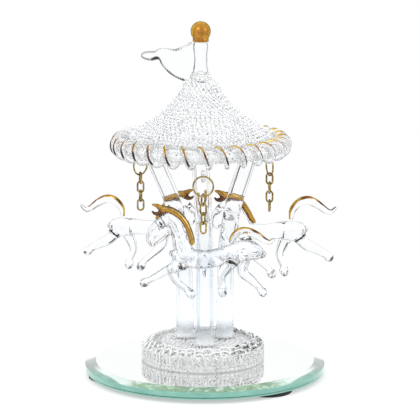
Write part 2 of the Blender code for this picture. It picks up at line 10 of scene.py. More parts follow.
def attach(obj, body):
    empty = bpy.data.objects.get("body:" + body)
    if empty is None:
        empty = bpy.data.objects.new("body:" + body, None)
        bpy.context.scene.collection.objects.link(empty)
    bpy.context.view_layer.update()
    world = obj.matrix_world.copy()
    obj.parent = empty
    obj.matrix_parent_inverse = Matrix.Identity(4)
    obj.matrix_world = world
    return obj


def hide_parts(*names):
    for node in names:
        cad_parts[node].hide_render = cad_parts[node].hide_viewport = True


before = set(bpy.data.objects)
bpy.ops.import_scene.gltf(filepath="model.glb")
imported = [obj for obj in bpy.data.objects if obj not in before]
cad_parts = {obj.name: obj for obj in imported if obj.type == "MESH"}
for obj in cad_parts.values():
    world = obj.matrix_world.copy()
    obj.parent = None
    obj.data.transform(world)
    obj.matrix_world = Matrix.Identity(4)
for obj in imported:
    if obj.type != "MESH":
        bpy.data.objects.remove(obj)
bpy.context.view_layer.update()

mm = 0.001
print("frame loaded:", len(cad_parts), "nodes")


# helpers for shapes, all lengths in millimetres

def smoothLine(points, steps):
    # a rounded line through points that may carry a radius as a last value
    points = [Vector(point) for point in points]
    ends = [2 * points[0] - points[1], *points, 2 * points[-1] - points[-2]]
    line = []
    for before, start, end, after in zip(ends, ends[1:], ends[2:], ends[3:]):
        for step in range(steps):
            t = step / steps
            line.append(0.5 * (2 * start + (end - before) * t
                               + (2 * before - 5 * start + 4 * end - after) * t * t
                               + (3 * start - before - 3 * end + after) * t * t * t))
    return line + [points[-1]]


def clamped(value):
    return min(max(value, 0), 1)


def shareAlong(pairs, share):
    # the second value of the pairs, read off between their first values
    for (low, first), (high, second) in zip(pairs, pairs[1:]):
        if share <= high:
            return first + (second - first) * (share - low) / (high - low)
    return pairs[-1][1]


def treeOf(points):
    # finds the nearest of the points
    tree = kdtree.KDTree(len(points))
    for i, point in enumerate(points):
        tree.insert(point, i)
    tree.balance()
    return tree


def newObject(name, data):
    item = bpy.data.objects.new(name, data)
    bpy.context.scene.collection.objects.link(item)
    return item


def bmeshOf(maker):
    # the mesh that an object's bevel or modifiers give; the object itself goes
    bpy.context.view_layer.update()
    graph = bpy.context.evaluated_depsgraph_get()
    mesh = bpy.data.meshes.new_from_object(maker.evaluated_get(graph))
    bm = bmesh.new()
    bm.from_mesh(mesh)
    bpy.data.objects.remove(maker)
    bpy.data.meshes.remove(mesh)
    return bm


def bmeshOfRods(strands, resolution):
    # strands: (points, radii, closed) each, drawn as one bevelled curve
    curve = bpy.data.curves.new("rods", "CURVE")
    curve.dimensions = "3D"
    curve.bevel_depth = mm
    curve.bevel_resolution = resolution
    curve.use_fill_caps = True
    for points, radii, closed in strands:
        spline = curve.splines.new("POLY")
        spline.points.add(len(points) - 1)
        for item, point, radius in zip(spline.points, points, radii):
            item.co = (point[0] * mm, point[1] * mm, point[2] * mm, 1.0)
            item.radius = radius
        spline.use_cyclic_u = closed
    bm = bmeshOf(newObject("rods", curve))
    bpy.data.curves.remove(curve)
    bmesh.ops.remove_doubles(bm, verts=bm.verts, dist=0.002 * mm)
    bmesh.ops.recalc_face_normals(bm, faces=bm.faces)
    return bm


def roundEnds(points, radii):
    # three more points at each end, so that a rod ends in a melted tip
    points, radii = list(points), list(radii)
    for _ in range(2):
        along = (Vector(points[-1]) - Vector(points[-2])).normalized()
        tip, radius = Vector(points[-1]), radii[-1]
        for out, narrow in ((0.45, 0.88), (0.78, 0.62), (0.97, 0.22)):
            points.append(tip + along * radius * out)
            radii.append(radius * narrow)
        points.reverse()
        radii.reverse()
    return points, radii


def evenLoop(points, radius):
    # a closed loop of one thickness
    return points, [radius] * len(points), True


def evenRod(points, radius):
    # an open rod of one thickness with melted tips
    return *roundEnds(points, [radius] * len(points)), False


def turnedBmesh(profile, steps, middle):
    # profile: (radius, height) pairs turned about an upright axis at middle
    bm = bmesh.new()
    line = [bm.verts.new((radius * mm, 0, height * mm)) for radius, height in profile]
    edges = [bm.edges.new(pair) for pair in zip(line, line[1:])]
    bmesh.ops.spin(bm, geom=line + edges, axis=(0, 0, 1), cent=(0, 0, 0),
                   angle=2 * math.pi, steps=steps, use_merge=True)
    bmesh.ops.remove_doubles(bm, verts=bm.verts, dist=0.002 * mm)
    bmesh.ops.recalc_face_normals(bm, faces=bm.faces)
    bmesh.ops.translate(bm, verts=bm.verts, vec=[value * mm for value in middle])
    return bm


def joinBmesh(target, source):
    mesh = bpy.data.meshes.new("joined")
    source.to_mesh(mesh)
    source.free()
    target.from_mesh(mesh)
    bpy.data.meshes.remove(mesh)


def makePiece(name, bm, finishes, body, nodes, sharpAngle=None):
    mesh = bpy.data.meshes.new(name)
    bm.to_mesh(mesh)
    bm.free()
    mesh.shade_smooth()
    if sharpAngle:
        mesh.set_sharp_from_angle(angle=math.radians(sharpAngle))
    piece = newObject(name, mesh)
    for finish in finishes if isinstance(finishes, list) else [finishes]:
        mesh.materials.append(finish)
    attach(piece, body)
    if nodes:
        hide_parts(*nodes)
    return piece


def markPoints(piece, name, values):
    # a value for each vertex, which a finish reads by its name
    piece.data.attributes.new(name, "FLOAT", "POINT").data.foreach_set("value", values)


def fusedBmesh(bm, voxel, smoothing):
    # one skin round overlapping rods, as glass melts together
    mesh = bpy.data.meshes.new("fused")
    bm.to_mesh(mesh)
    bm.free()
    maker = newObject("fused", mesh)
    remesh = maker.modifiers.new("melt", "REMESH")
    remesh.mode = "VOXEL"
    remesh.voxel_size = voxel * mm
    smooth = maker.modifiers.new("smooth", "SMOOTH")
    smooth.factor = 0.5
    smooth.iterations = smoothing
    fused = bmeshOf(maker)
    bpy.data.meshes.remove(mesh)
    return fused


# helpers for finishes

class NodeTree:
    # nodes that are put together a step at a time
    def __init__(self, tree):
        self.nodes, self.links = tree.nodes, tree.links

    def feed(self, socket, value):
        if isinstance(value, bpy.types.NodeSocket):
            self.links.new(value, socket)
        else:
            socket.default_value = value

    def add(self, kind, **inputs):
        node = self.nodes.new(f"ShaderNode{kind}")
        for name, value in inputs.items():
            self.feed(node.inputs[name.replace("_", " ")], value)
        return node

    def calculate(self, operation, *values):
        node = self.add("Math")
        node.operation = operation
        for socket, value in zip(node.inputs, values):
            self.feed(socket, value)
        return node.outputs["Value"]


class Finish(NodeTree):
    # the material of one kind of piece, with its patterns in millimetres
    def __init__(self, name, **sockets):
        self.material = bpy.data.materials.new(name)
        self.material.use_nodes = True
        super().__init__(self.material.node_tree)
        self.shader = self.nodes["Principled BSDF"]
        for socket, value in sockets.items():
            self.join(value, socket.replace("_", " "))
        coordinates = self.add("TexCoord")
        scale = self.add("Mapping", Vector=coordinates.outputs["Object"], Scale=(1000, 1000, 1000))
        self.place = scale.outputs["Vector"]

    def join(self, value, socket):
        self.feed(self.shader.inputs[socket], value)

    def noise(self, scale, detail=3.0, distortion=0.0, stretch=None):
        place = self.place
        if stretch:
            place = self.add("Mapping", Vector=place, Scale=stretch).outputs["Vector"]
        node = self.add("TexNoise", Vector=place, Scale=scale, Detail=detail, Distortion=distortion)
        return node.outputs["Fac"]

    def facing(self):
        return self.add("LayerWeight", Blend=0.5).outputs["Facing"]

    def height(self):
        return self.add("SeparateXYZ", Vector=self.place).outputs["Z"]

    def attribute(self, name):
        node = self.add("Attribute")
        node.attribute_name = name
        return node.outputs["Fac"]

    def ramp(self, source, *stops):
        node = self.add("ValToRGB", Fac=source)
        elements = node.color_ramp.elements
        while len(elements) < len(stops):
            elements.new(0.5)
        for element, (position, colour) in zip(elements, stops):
            element.position = position
            colour = colour if isinstance(colour, tuple) else (colour, colour, colour)
            element.color = (*colour, 1.0)
        return node.outputs["Color"]

    def mix(self, factor, first, second):
        node = self.add("Mix")
        node.data_type = "RGBA"
        self.feed(node.inputs["Factor"], factor)
        for name, value in (("A", first), ("B", second)):
            socket = [item for item in node.inputs if item.name == name and item.type == "RGBA"][0]
            self.feed(socket, (*value, 1.0) if isinstance(value, tuple) else value)
        return [item for item in node.outputs if item.type == "RGBA"][0]

    def uneven(self, scale, detail=3.0):
        # patches of 0 and 1 with soft edges
        return self.ramp(self.noise(scale, detail), (0.42, 0.0), (0.62, 1.0))

    def colour(self, source, *stops):
        self.join(self.ramp(source, *stops), "Base Color")

    def roughness(self, scale, low, high, start=0.3, end=0.8):
        self.join(self.ramp(self.noise(scale), (start, low), (end, high)), "Roughness")

    def bump(self, source, strength, height):
        node = self.add("Bump", Strength=strength, Distance=height * mm, Height=source)
        self.join(node.outputs["Normal"], "Normal")


def glassFinish(name, waves, depth, *stops, paintedDark=None, ior=1.47):
    # clear glass with a painted dark outline: painted shade for the darkening that refraction gives it
    # in front of a white ground; stops run from facing the eye (0) to edge on (1), and the painted outline
    # is uneven;
    # the last argument is the colour of short dark painted shade marks, which a mesh attribute of the same
    # name places
    finish = Finish(name, Transmission_Weight=1.0, IOR=ior)
    heavy = [(position, tuple(value ** 1.7 for value in colour)) for position, colour in stops]
    facing = finish.facing()
    tone = finish.mix(finish.uneven(0.22), finish.ramp(facing, *stops), finish.ramp(facing, *heavy))
    # short dark marks of painted shade
    if paintedDark:
        tone = finish.mix(finish.attribute("paintedDark"), tone, paintedDark)
    finish.join(tone, "Base Color")
    finish.roughness(0.8, 0.0, 0.035)
    finish.bump(finish.noise(waves, 2.0, 0.6), 0.5, depth)
    return finish.material


def pillarFinish():
    # milky where it is melted to the drum, then a faint blue-grey painted shade with a painted inner line
    # and a painted dark outline, paling to white higher up, clear where it flares
    finish = Finish("clear rod glass", Transmission_Weight=1.0, IOR=1.47)
    tint, milk, facing = (0.835, 0.88, 0.92), (0.96, 0.985, 1.0), finish.facing()
    # painted shade: low down a blue-grey tint with a darker inner line and a dark outline, higher up near
    # white with a dark outline
    lower = finish.ramp(facing, (0.0, tint), (0.13, tint), (0.19, (0.74, 0.79, 0.84)), (0.24, tint),
                        (0.50, (0.85, 0.89, 0.92)), (0.68, (0.55, 0.60, 0.66)), (1.0, (0.30, 0.34, 0.40)))
    upper = finish.ramp(facing, (0.0, (0.985, 0.99, 1.0)), (0.55, (0.975, 0.985, 1.0)),
                        (0.74, (0.70, 0.74, 0.80)), (1.0, (0.16, 0.19, 0.27)))
    # a ramp runs from 0 to 1, so heights are in shares of 100 mm
    height = finish.calculate("MULTIPLY", finish.height(), 0.01)
    climb = finish.ramp(height, (pillars["blueTo"] / 100, 0.0), (pillars["whiteFrom"] / 100, 1.0))
    clear = finish.ramp(height, (pillars["milkyTo"] / 100, 0.10), (pillars["clearFrom"] / 100, 1.0))
    finish.join(clear, "Transmission Weight")
    finish.join(finish.mix(clear, milk, finish.mix(climb, lower, upper)), "Base Color")
    finish.roughness(0.8, 0.0, 0.035)
    finish.bump(finish.noise(0.10, 2.0, 0.6), 0.5, 0.4)
    return finish.material


def threadFinish(name, speckShare, *stops, paintedDark=None):
    # a web of thin glass thread: milky from the side, a painted shade outline that darkens towards edge on,
    # and a few dark specks;
    # the higher speckShare is, the fewer specks there are
    finish = Finish(name, Subsurface_Weight=0.85, Subsurface_Radius=(1.0, 1.0, 1.0),
                    Subsurface_Scale=1.6 * mm, Specular_IOR_Level=0.3, Coat_Weight=0.15,
                    Coat_Roughness=0.05)
    plain = tuple((position, tuple(value ** 0.3 for value in colour)) for position, colour in stops)
    facing = finish.facing()
    outline = finish.mix(finish.uneven(0.35, 4.0), finish.ramp(facing, *plain), finish.ramp(facing, *stops))
    specks = finish.ramp(finish.noise(1.15, 1.0), (speckShare, 0.0), (speckShare + 0.02, 1.0))
    tone = finish.mix(specks, outline, (0.05, 0.055, 0.06))
    # short dark painted shade marks, where a mesh attribute of that name places them
    if paintedDark:
        tone = finish.mix(finish.attribute("paintedDark"), tone, paintedDark)
    finish.join(tone, "Base Color")
    finish.roughness(1.1, 0.08, 0.25)
    finish.bump(finish.noise(1.6), 0.25, 0.10)
    return finish.material


def chainBrass():
    # streaked from dark brown to yellow, as brass wears
    finish = Finish("old brass", Metallic=1.0, Specular_Tint=(0.30, 0.20, 0.12, 1.0), Coat_Weight=0.4,
                    Coat_Roughness=0.08)
    finish.colour(finish.noise(0.7, 4.0, 0.8), (0.30, (0.11, 0.075, 0.018)),
                  (0.48, (0.29, 0.205, 0.045)), (0.66, (0.62, 0.49, 0.18)))
    finish.roughness(1.3, 0.144, 0.384)
    finish.bump(finish.noise(0.9, 3.0, 0.5), 0.45, 0.22)
    return finish.material


# camera, fitted to the mirror's rim and the canopy

view = {"place": (0.6, -1100.0, 289.2), "pitch": 78.705, "lens": 232.7, "sensor": 36.0}


def makeCamera():
    data = bpy.data.cameras.new("camera")
    data.lens = view["lens"]
    data.sensor_width = view["sensor"]
    data.clip_start = 0.01
    camera = newObject("camera", data)
    camera.location = [value * mm for value in view["place"]]
    camera.rotation_euler = (math.radians(view["pitch"]), 0, 0)
    bpy.context.scene.camera = camera


makeCamera()

# light: a white room with narrow grey uprights and small dark patches, which glass and gold need

studio = {"level": 1.15, "stripCount": 6, "stripWidth": 0.86, "stripShade": 0.45, "stripReach": 0.62,
          "patchSize": 3.1, "patchShare": 0.635, "patchShade": 0.1, "patchSide": 0.22,
          "lamps": (("key", (-0.55, -0.75, 0.85), 0.55, 2.4), ("fill", (0.75, -0.35, 0.45), 0.45, 0.9)),
          "lampsAimAt": (0, 0, 0.07), "floorSize": 320, "paperTone": 0.62, "paperGlow": 0.46,
          "fadeFrom": 0.12, "fadeTo": 0.26}


def makeRoom():
    world = bpy.data.worlds.new("room")
    bpy.context.scene.world = world
    world.use_nodes = True
    room = NodeTree(world.node_tree)
    direction = room.add("SeparateXYZ", Vector=room.add("TexCoord").outputs["Generated"]).outputs
    rays = room.add("LightPath").outputs
    seen = room.calculate("MAXIMUM", rays["Is Glossy Ray"], rays["Is Transmission Ray"])

    bearing = room.calculate("ARCTAN2", direction["Y"], direction["X"])
    waves = room.calculate("COSINE", room.calculate("MULTIPLY", bearing, studio["stripCount"]))
    strips = room.calculate("GREATER_THAN", waves, studio["stripWidth"])  # white straight on
    low = room.calculate("LESS_THAN", room.calculate("ABSOLUTE", direction["Z"]), studio["stripReach"])
    strips = room.calculate("MULTIPLY", room.calculate("MULTIPLY", strips, low), 1 - studio["stripShade"])

    noise = room.add("TexNoise", Scale=studio["patchSize"], Detail=1.0)
    patches = room.calculate("GREATER_THAN", noise.outputs["Fac"], studio["patchShare"])
    side = room.calculate("GREATER_THAN", room.calculate("ABSOLUTE", direction["X"]), studio["patchSide"])
    patches = room.calculate("MULTIPLY", room.calculate("MULTIPLY", patches, side), 1 - studio["patchShade"])

    dark = room.calculate("MULTIPLY", room.calculate("MAXIMUM", strips, patches), seen)
    pale = room.calculate("SUBTRACT", 1.0, dark)
    shown = room.calculate("MAXIMUM", seen, rays["Is Camera Ray"])
    level = room.calculate("ADD", room.calculate("MULTIPLY", shown, 1 - studio["level"]), studio["level"])
    background = room.nodes["Background"].inputs
    room.feed(background["Color"], (1, 1, 1, 1))
    room.feed(background["Strength"], room.calculate("MULTIPLY", pale, level))


def makeLamps():
    for name, spot, size, power in studio["lamps"]:
        data = bpy.data.lights.new(name, "AREA")
        data.size = size
        data.energy = power
        lamp = newObject(name, data)
        lamp.location = spot
        aim = Vector(studio["lampsAimAt"]) - Vector(spot)
        lamp.rotation_euler = aim.to_track_quat("-Z", "Y").to_euler()


def makeFloor():
    bm = bmesh.new()
    bmesh.ops.create_circle(bm, cap_ends=True, segments=96, radius=studio["floorSize"] * mm)
    mesh = bpy.data.meshes.new("floor")
    bm.to_mesh(mesh)
    bm.free()
    floor = newObject("floor", mesh)

    # the paper reads white to the eye and keeps the ornament's shadow
    paper = Finish("white paper", Roughness=0.9, Specular_IOR_Level=0.0, Emission_Color=(1, 1, 1, 1),
                   Base_Color=(studio["paperTone"],) * 3 + (1,))
    mesh.materials.append(paper.material)
    unlit = paper.calculate("SUBTRACT", 1.0, paper.add("LightPath").outputs["Is Diffuse Ray"])
    paper.join(paper.calculate("MULTIPLY", unlit, studio["paperGlow"]), "Emission Strength")

    # it ends in the white of the room
    reach = paper.add("VectorMath")
    reach.operation = "LENGTH"
    paper.feed(reach.inputs[0], paper.add("TexCoord").outputs["Object"])
    fade = paper.add("MapRange", Value=reach.outputs["Value"], From_Min=studio["fadeFrom"],
                     From_Max=studio["fadeTo"])
    ending = paper.add("MixShader", Fac=fade.outputs["Result"])
    paper.feed(ending.inputs[1], paper.shader.outputs["BSDF"])
    paper.feed(ending.inputs[2], paper.add("BsdfTransparent").outputs["BSDF"])
    paper.feed(paper.nodes["Material Output"].inputs["Surface"], ending.outputs["Shader"])


makeRoom()
makeLamps()
makeFloor()
bpy.context.scene.view_settings.view_transform = "Standard"
print("stage, camera and lights done")

# finishes

# the last stops of each glass are its painted dark outline, as painted shade; the horse and pennant glass
# also paint short dark shade marks
horseGlass = glassFinish("clear worked glass", 0.16, 0.5, (0.0, (0.985, 0.99, 1.0)),
                         (0.38, (0.965, 0.98, 0.99)), (0.66, (0.64, 0.68, 0.72)), (1.0, (0.15, 0.17, 0.19)),
                         paintedDark=(0.03, 0.032, 0.036))
finialGlass = glassFinish("clear finial glass", 0.3, 0.3, (0.0, (0.985, 0.99, 1.0)),
                          (0.40, (0.97, 0.98, 0.99)), (0.70, (0.45, 0.48, 0.52)), (1.0, (0.10, 0.11, 0.13)))
pennantGlass = glassFinish("clear pennant glass", 0.3, 0.2, (0.0, (0.99, 0.995, 1.0)),
                           (0.45, (0.97, 0.98, 0.99)), (0.80, (0.70, 0.72, 0.74)),
                           (1.0, (0.30, 0.32, 0.34)), paintedDark=(0.02, 0.022, 0.024))
mastGlass = glassFinish("clear mast glass", 0.3, 0.3, (0.0, (0.985, 0.99, 1.0)), (0.60, (0.98, 0.985, 0.99)),
                        (0.86, (0.74, 0.76, 0.79)), (1.0, (0.24, 0.26, 0.29)), ior=1.22)
snow, frost, ice = (0.975, 0.995, 1.0), (0.955, 0.985, 1.0), (0.935, 0.975, 1.0)
# the last stops darken each thread's outline as painted shade; the loop thread also paints short dark shade
# marks
tentThread = threadFinish("tent thread", 0.695, (0.0, frost), (0.45, ice), (0.80, (0.90, 0.945, 0.98)),
                          (1.0, (0.62, 0.71, 0.78)))
tentShell = threadFinish("tent ground", 0.72, (0.0, frost), (1.0, ice))
drumThread = threadFinish("drum thread", 0.685, (0.0, snow), (0.40, (0.97, 0.99, 1.0)),
                          (0.75, (0.90, 0.93, 0.94)), (1.0, (0.52, 0.56, 0.57)))
loopThread = threadFinish("loop thread", 0.70, (0.0, snow), (0.35, (0.96, 0.98, 0.99)),
                          (0.70, (0.68, 0.72, 0.73)), (1.0, (0.20, 0.23, 0.24)), paintedDark=(0.02, 0.022, 0.025))
drumGround = threadFinish("drum ground", 0.715, (0.0, snow), (1.0, (0.96, 0.985, 0.99)))


def amberGold():
    # a gilt bead with painted reflections by facing: brown in its middle, yellow bands to the sides, a dark
    # olive painted outline
    finish = Finish("amber gold", Metallic=0.75, Specular_Tint=(0.30, 0.20, 0.12, 1.0), Coat_Weight=0.25,
                    Coat_Roughness=0.2)
    facing = finish.facing()
    # painted reflection and painted shade, by how the surface faces
    bright = finish.ramp(facing, (0.0, (0.50, 0.22, 0.035)), (0.30, (0.58, 0.29, 0.035)),
                         (0.55, (0.76, 0.48, 0.045)), (0.80, (0.60, 0.38, 0.05)), (1.0, (0.10, 0.075, 0.03)))
    brown = finish.ramp(facing, (0.0, (0.37, 0.15, 0.025)), (0.50, (0.50, 0.25, 0.03)),
                        (0.80, (0.44, 0.25, 0.04)), (1.0, (0.08, 0.06, 0.025)))
    streaks = finish.ramp(finish.noise(0.35, 4.0, 0.6, (1.6, 1.6, 0.7)), (0.42, 0.0), (0.62, 1.0))
    finish.join(finish.mix(streaks, bright, brown), "Base Color")
    finish.roughness(1.3, 0.22, 0.40)
    finish.bump(finish.noise(0.5, 3.0, 0.5), 0.3, 0.15)
    return finish.material


def mirrorSilver():
    finish = Finish("silvered glass", Metallic=1.0, Coat_Weight=1.0, Coat_Roughness=0.01)
    finish.colour(finish.noise(0.05), (0.3, (0.95, 0.98, 0.975)), (0.7, (0.97, 0.99, 0.985)))
    finish.roughness(0.25, 0.006, 0.03, 0.4, 0.75)
    return finish.material


def bevelGreen():
    # mirrored under the slope, with the green of its glass and the reflections it shows painted in:
    # "front", "outer", "tip" and "back" say where it shows painted green, teal, grey or white reflections
    finish = Finish("bevelled glass", Metallic=0.35, Coat_Weight=1.0, Coat_Roughness=0.02)
    streaks = finish.ramp(finish.noise(0.30, 3.0, 1.2), (0.36, (0.20, 0.36, 0.22)),
                          (0.50, (0.31, 0.50, 0.34)), (0.60, (0.48, 0.66, 0.52)), (0.72, (0.80, 0.90, 0.84)))
    pale = finish.ramp(finish.noise(0.12), (0.40, (0.70, 0.86, 0.79)), (0.60, (0.93, 0.97, 0.95)))
    teal = finish.ramp(finish.noise(0.2), (0.40, (0.12, 0.32, 0.255)), (0.62, (0.19, 0.44, 0.355)))
    grey = finish.ramp(finish.noise(0.15), (0.40, (0.13, 0.19, 0.175)), (0.62, (0.24, 0.31, 0.29)))
    sloped = finish.mix(finish.attribute("front"), pale, streaks)
    sloped = finish.mix(finish.ramp(finish.attribute("outer"), (0.40, 0.0), (0.56, 1.0)), sloped, teal)
    sloped = finish.mix(finish.attribute("tip"), sloped, grey)
    finish.join(finish.mix(finish.attribute("back"), sloped, (0.95, 0.97, 0.97)), "Base Color")
    finish.roughness(0.5, 0.03, 0.12, 0.4, 0.75)
    return finish.material


def edgeTurquoise():
    finish = Finish("glass edge", Transmission_Weight=0.1, Coat_Weight=0.8, Coat_Roughness=0.06)
    band = finish.noise(0.10, 2.0, 0.3, (1.0, 1.0, 5.0))
    finish.colour(band, (0.32, (0.17, 0.46, 0.38)), (0.50, (0.215, 0.53, 0.435)),
                  (0.68, (0.27, 0.60, 0.50)))
    finish.roughness(0.6, 0.12, 0.28, 0.4)
    return finish.material


def padRubber():
    finish = Finish("black pad")
    finish.colour(finish.noise(0.8), (0.3, (0.004, 0.007, 0.007)), (0.8, (0.02, 0.024, 0.024)))
    finish.roughness(1.5, 0.55, 0.85)
    finish.bump(finish.noise(4.0), 0.5, 0.08)
    return finish.material


def backingPaint():
    finish = Finish("mirror backing", Roughness=0.5)
    finish.colour(finish.noise(0.3, 5.0), (0.3, (0.24, 0.54, 0.45)), (0.8, (0.34, 0.66, 0.56)))
    finish.bump(finish.noise(3.0), 0.3, 0.05)
    return finish.material


def eyeBead():
    finish = Finish("dark bead", Coat_Weight=1.0, Coat_Roughness=0.03)
    finish.colour(finish.noise(2.0), (0.3, (0.01, 0.011, 0.013)), (0.8, (0.05, 0.05, 0.06)))
    finish.roughness(3.0, 0.08, 0.2)
    return finish.material


def gildedRod():
    # clear where the gold stops: a mesh's own "gilding" says how much gold it has, and its own
    # "shade" how far the gold is darkened to brown and black as painted shade
    finish = Finish("gilded rod", IOR=1.47, Specular_Tint=(0.35, 0.22, 0.12, 1.0))
    gilding = finish.attribute("gilding")
    shade = finish.attribute("shade")
    gold = finish.ramp(shade, (0.0, (0.80, 0.56, 0.12)), (0.35, (0.50, 0.26, 0.035)),
                       (0.60, (0.16, 0.065, 0.018)), (0.85, (0.035, 0.020, 0.014)))
    # a painted dark outline on the clear glass, as painted shade
    clear = finish.ramp(finish.facing(), (0.0, (0.99, 0.995, 1.0)), (0.50, (0.97, 0.98, 0.99)),
                        (0.78, (0.72, 0.75, 0.78)), (1.0, (0.34, 0.36, 0.39)))
    finish.join(finish.mix(gilding, clear, gold), "Base Color")
    finish.join(finish.calculate("MULTIPLY", gilding, 0.92), "Metallic")
    finish.join(finish.ramp(gilding, (0.0, 1.0), (1.0, 0.0)), "Transmission Weight")
    finish.roughness(1.1, 0.03, 0.20)
    finish.bump(finish.noise(0.8, 3.0, 0.4), 0.4, 0.2)
    return finish.material


def maneFinish():
    # a gold ribbon with painted light: brown painted shade along its edges, a painted highlight streak along
    # its upper side
    finish = Finish("fired gold", Metallic=1.0, Specular_Tint=(0.25, 0.16, 0.10, 1.0), Coat_Weight=0.5,
                    Coat_Roughness=0.06)
    across = finish.attribute("shade")
    ribbon = finish.ramp(across, (0.0, (0.10, 0.045, 0.014)), (0.14, (0.36, 0.17, 0.026)),
                         (0.40, (0.46, 0.235, 0.030)), (0.62, (0.50, 0.27, 0.035)),
                         (0.76, (0.93, 0.76, 0.24)), (0.84, (0.45, 0.22, 0.03)), (1.0, (0.07, 0.032, 0.012)))
    thin = finish.ramp(finish.noise(0.35, 3.0, 0.6), (0.50, 0.0), (0.72, 0.65))
    finish.join(finish.mix(thin, ribbon, (0.20, 0.085, 0.02)), "Base Color")
    finish.roughness(1.3, 0.12, 0.34)
    finish.bump(finish.noise(0.6, 3.0, 0.5), 0.4, 0.2)
    return finish.material


def coat(node, finish):
    # a finish on a solid that is shown as it is
    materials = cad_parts[node].data.materials
    materials.clear()
    materials.append(finish)


chainGold = chainBrass()
maneGold = maneFinish()
gildedGlass = gildedRod()
padBlack = padRubber()
beadBlack = eyeBead()
for number in (1, 2, 3):
    coat(f"foot_pad_{number}", padBlack)
coat("mirror_backing", backingPaint())
print("finishes done")

# mirror

mirror = {"middle": (-1.5, 0), "radius": 50.0, "bottom": 2.7, "thick": 3.5, "bevelWide": 4.5,
          "bevelDrop": 1.2, "round": 0.25, "steps": 160, "wander": 3,
          # degrees round from the front, and how much of each painted reflection the bevel has there
          "front": ((-9, 1), (34, 1), (46, 0), (190, 0)),
          "outer": ((-9, 0), (34, 0), (56, 1), (190, 1)), "tip": ((-9, 0), (66, 0), (78, 1), (190, 1)),
          "back": ((-9, 0), (91, 0), (95, 1), (190, 1))}


# how much of one painted reflection the bevel has at a point
def paintedReflectionShare(name, point, flat):
    across = abs(math.degrees(math.atan2(point.x - mirror["middle"][0], -point.y)))
    if name != "outer":
        return shareAlong(mirror[name], across + mirror["wander"] * mathNoise.noise(point * 0.1))
    inside = math.hypot(point.x - mirror["middle"][0], point.y) < flat + 0.1
    return 0 if inside else shareAlong(mirror[name], across)


def makeMirror():
    radius, thick, softness = mirror["radius"], mirror["thick"], mirror["round"]
    shoulder = thick - mirror["bevelDrop"]
    flat = radius - mirror["bevelWide"]
    profile = [(0, 0), (radius - softness, 0), (radius - softness * 0.3, softness * 0.3),
               (radius, softness), (radius, shoulder - softness),
               (radius - softness * 0.3, shoulder - softness * 0.2),
               (radius - softness, shoulder + softness * 0.15), (flat, thick), (0, thick)]
    bm = turnedBmesh(profile, mirror["steps"], (*mirror["middle"], mirror["bottom"]))
    middle = Vector((mirror["middle"][0], 0)) * mm
    for face in bm.faces:
        centre = face.calc_center_median()
        out = (Vector((centre.x, centre.y)) - middle).length / mm
        if face.normal.z > 0.99 and out < flat:
            face.material_index = 0
        elif face.normal.z > 0.5:
            face.material_index = 1
        else:
            face.material_index = 2
    piece = makePiece("mirror", bm, [mirrorSilver(), bevelGreen(), edgeTurquoise()], "carousel",
                      ["mirror_glass"], 15)
    for name in ("front", "outer", "tip", "back"):
        markPoints(piece, name, [paintedReflectionShare(name, vertex.co / mm, flat) for vertex in piece.data.vertices])


makeMirror()
print("mirror done")

# pillars

pillars = {"middle": -1.5, "foot": 14.7, "circle": 9.6, "footRadius": 3.7, "topRadius": 3.45,
           "height": 85.8, "topCircle": 24.2, "lean": -1.7, "firstAngle": -90.0, "footGap": 0.02,
           "drawnIn": 0.86,
           # heights where the glass and its painted shade change
           "milkyTo": 15.5, "clearFrom": 21.5, "blueTo": 50, "whiteFrom": 66,
           "flare": ((0.00, 0.00), (0.28, 0.02), (0.45, 0.08), (0.56, 0.19), (0.65, 0.33),
                     (0.72, 0.49), (0.79, 0.68), (0.86, 0.86), (0.93, 0.96), (1.00, 1.00))}


def pillarPoint(number, share):
    flare = shareAlong(pillars["flare"], share)
    circle = pillars["circle"] + (pillars["topCircle"] - pillars["circle"]) * flare
    angle = math.radians(pillars["firstAngle"] + 120 * number)
    return Vector((pillars["middle"] + circle * math.cos(angle) + pillars["lean"] * flare,
                   circle * math.sin(angle), pillars["foot"] + pillars["height"] * share))


def makePillars():
    pillarGlass = pillarFinish()
    for number in range(3):
        line = smoothLine([pillarPoint(number, share) for share, _ in pillars["flare"]], 5)
        radii = []
        for point in line:
            share = (point.z - pillars["foot"]) / pillars["height"]
            radius = pillars["footRadius"] + (pillars["topRadius"] - pillars["footRadius"]) * share
            radii.append(radius)
        line[0] = line[0] + Vector((0, 0, pillars["footGap"]))
        radii[-1] *= pillars["drawnIn"]
        bm = bmeshOfRods([(line, radii, False)], 12)
        makePiece(f"pillar_rod_{number + 1}", bm, pillarGlass, "carousel", [f"pillar_{number + 1}"],
                  50)


# drum: a roll of spun glass round a lace disc

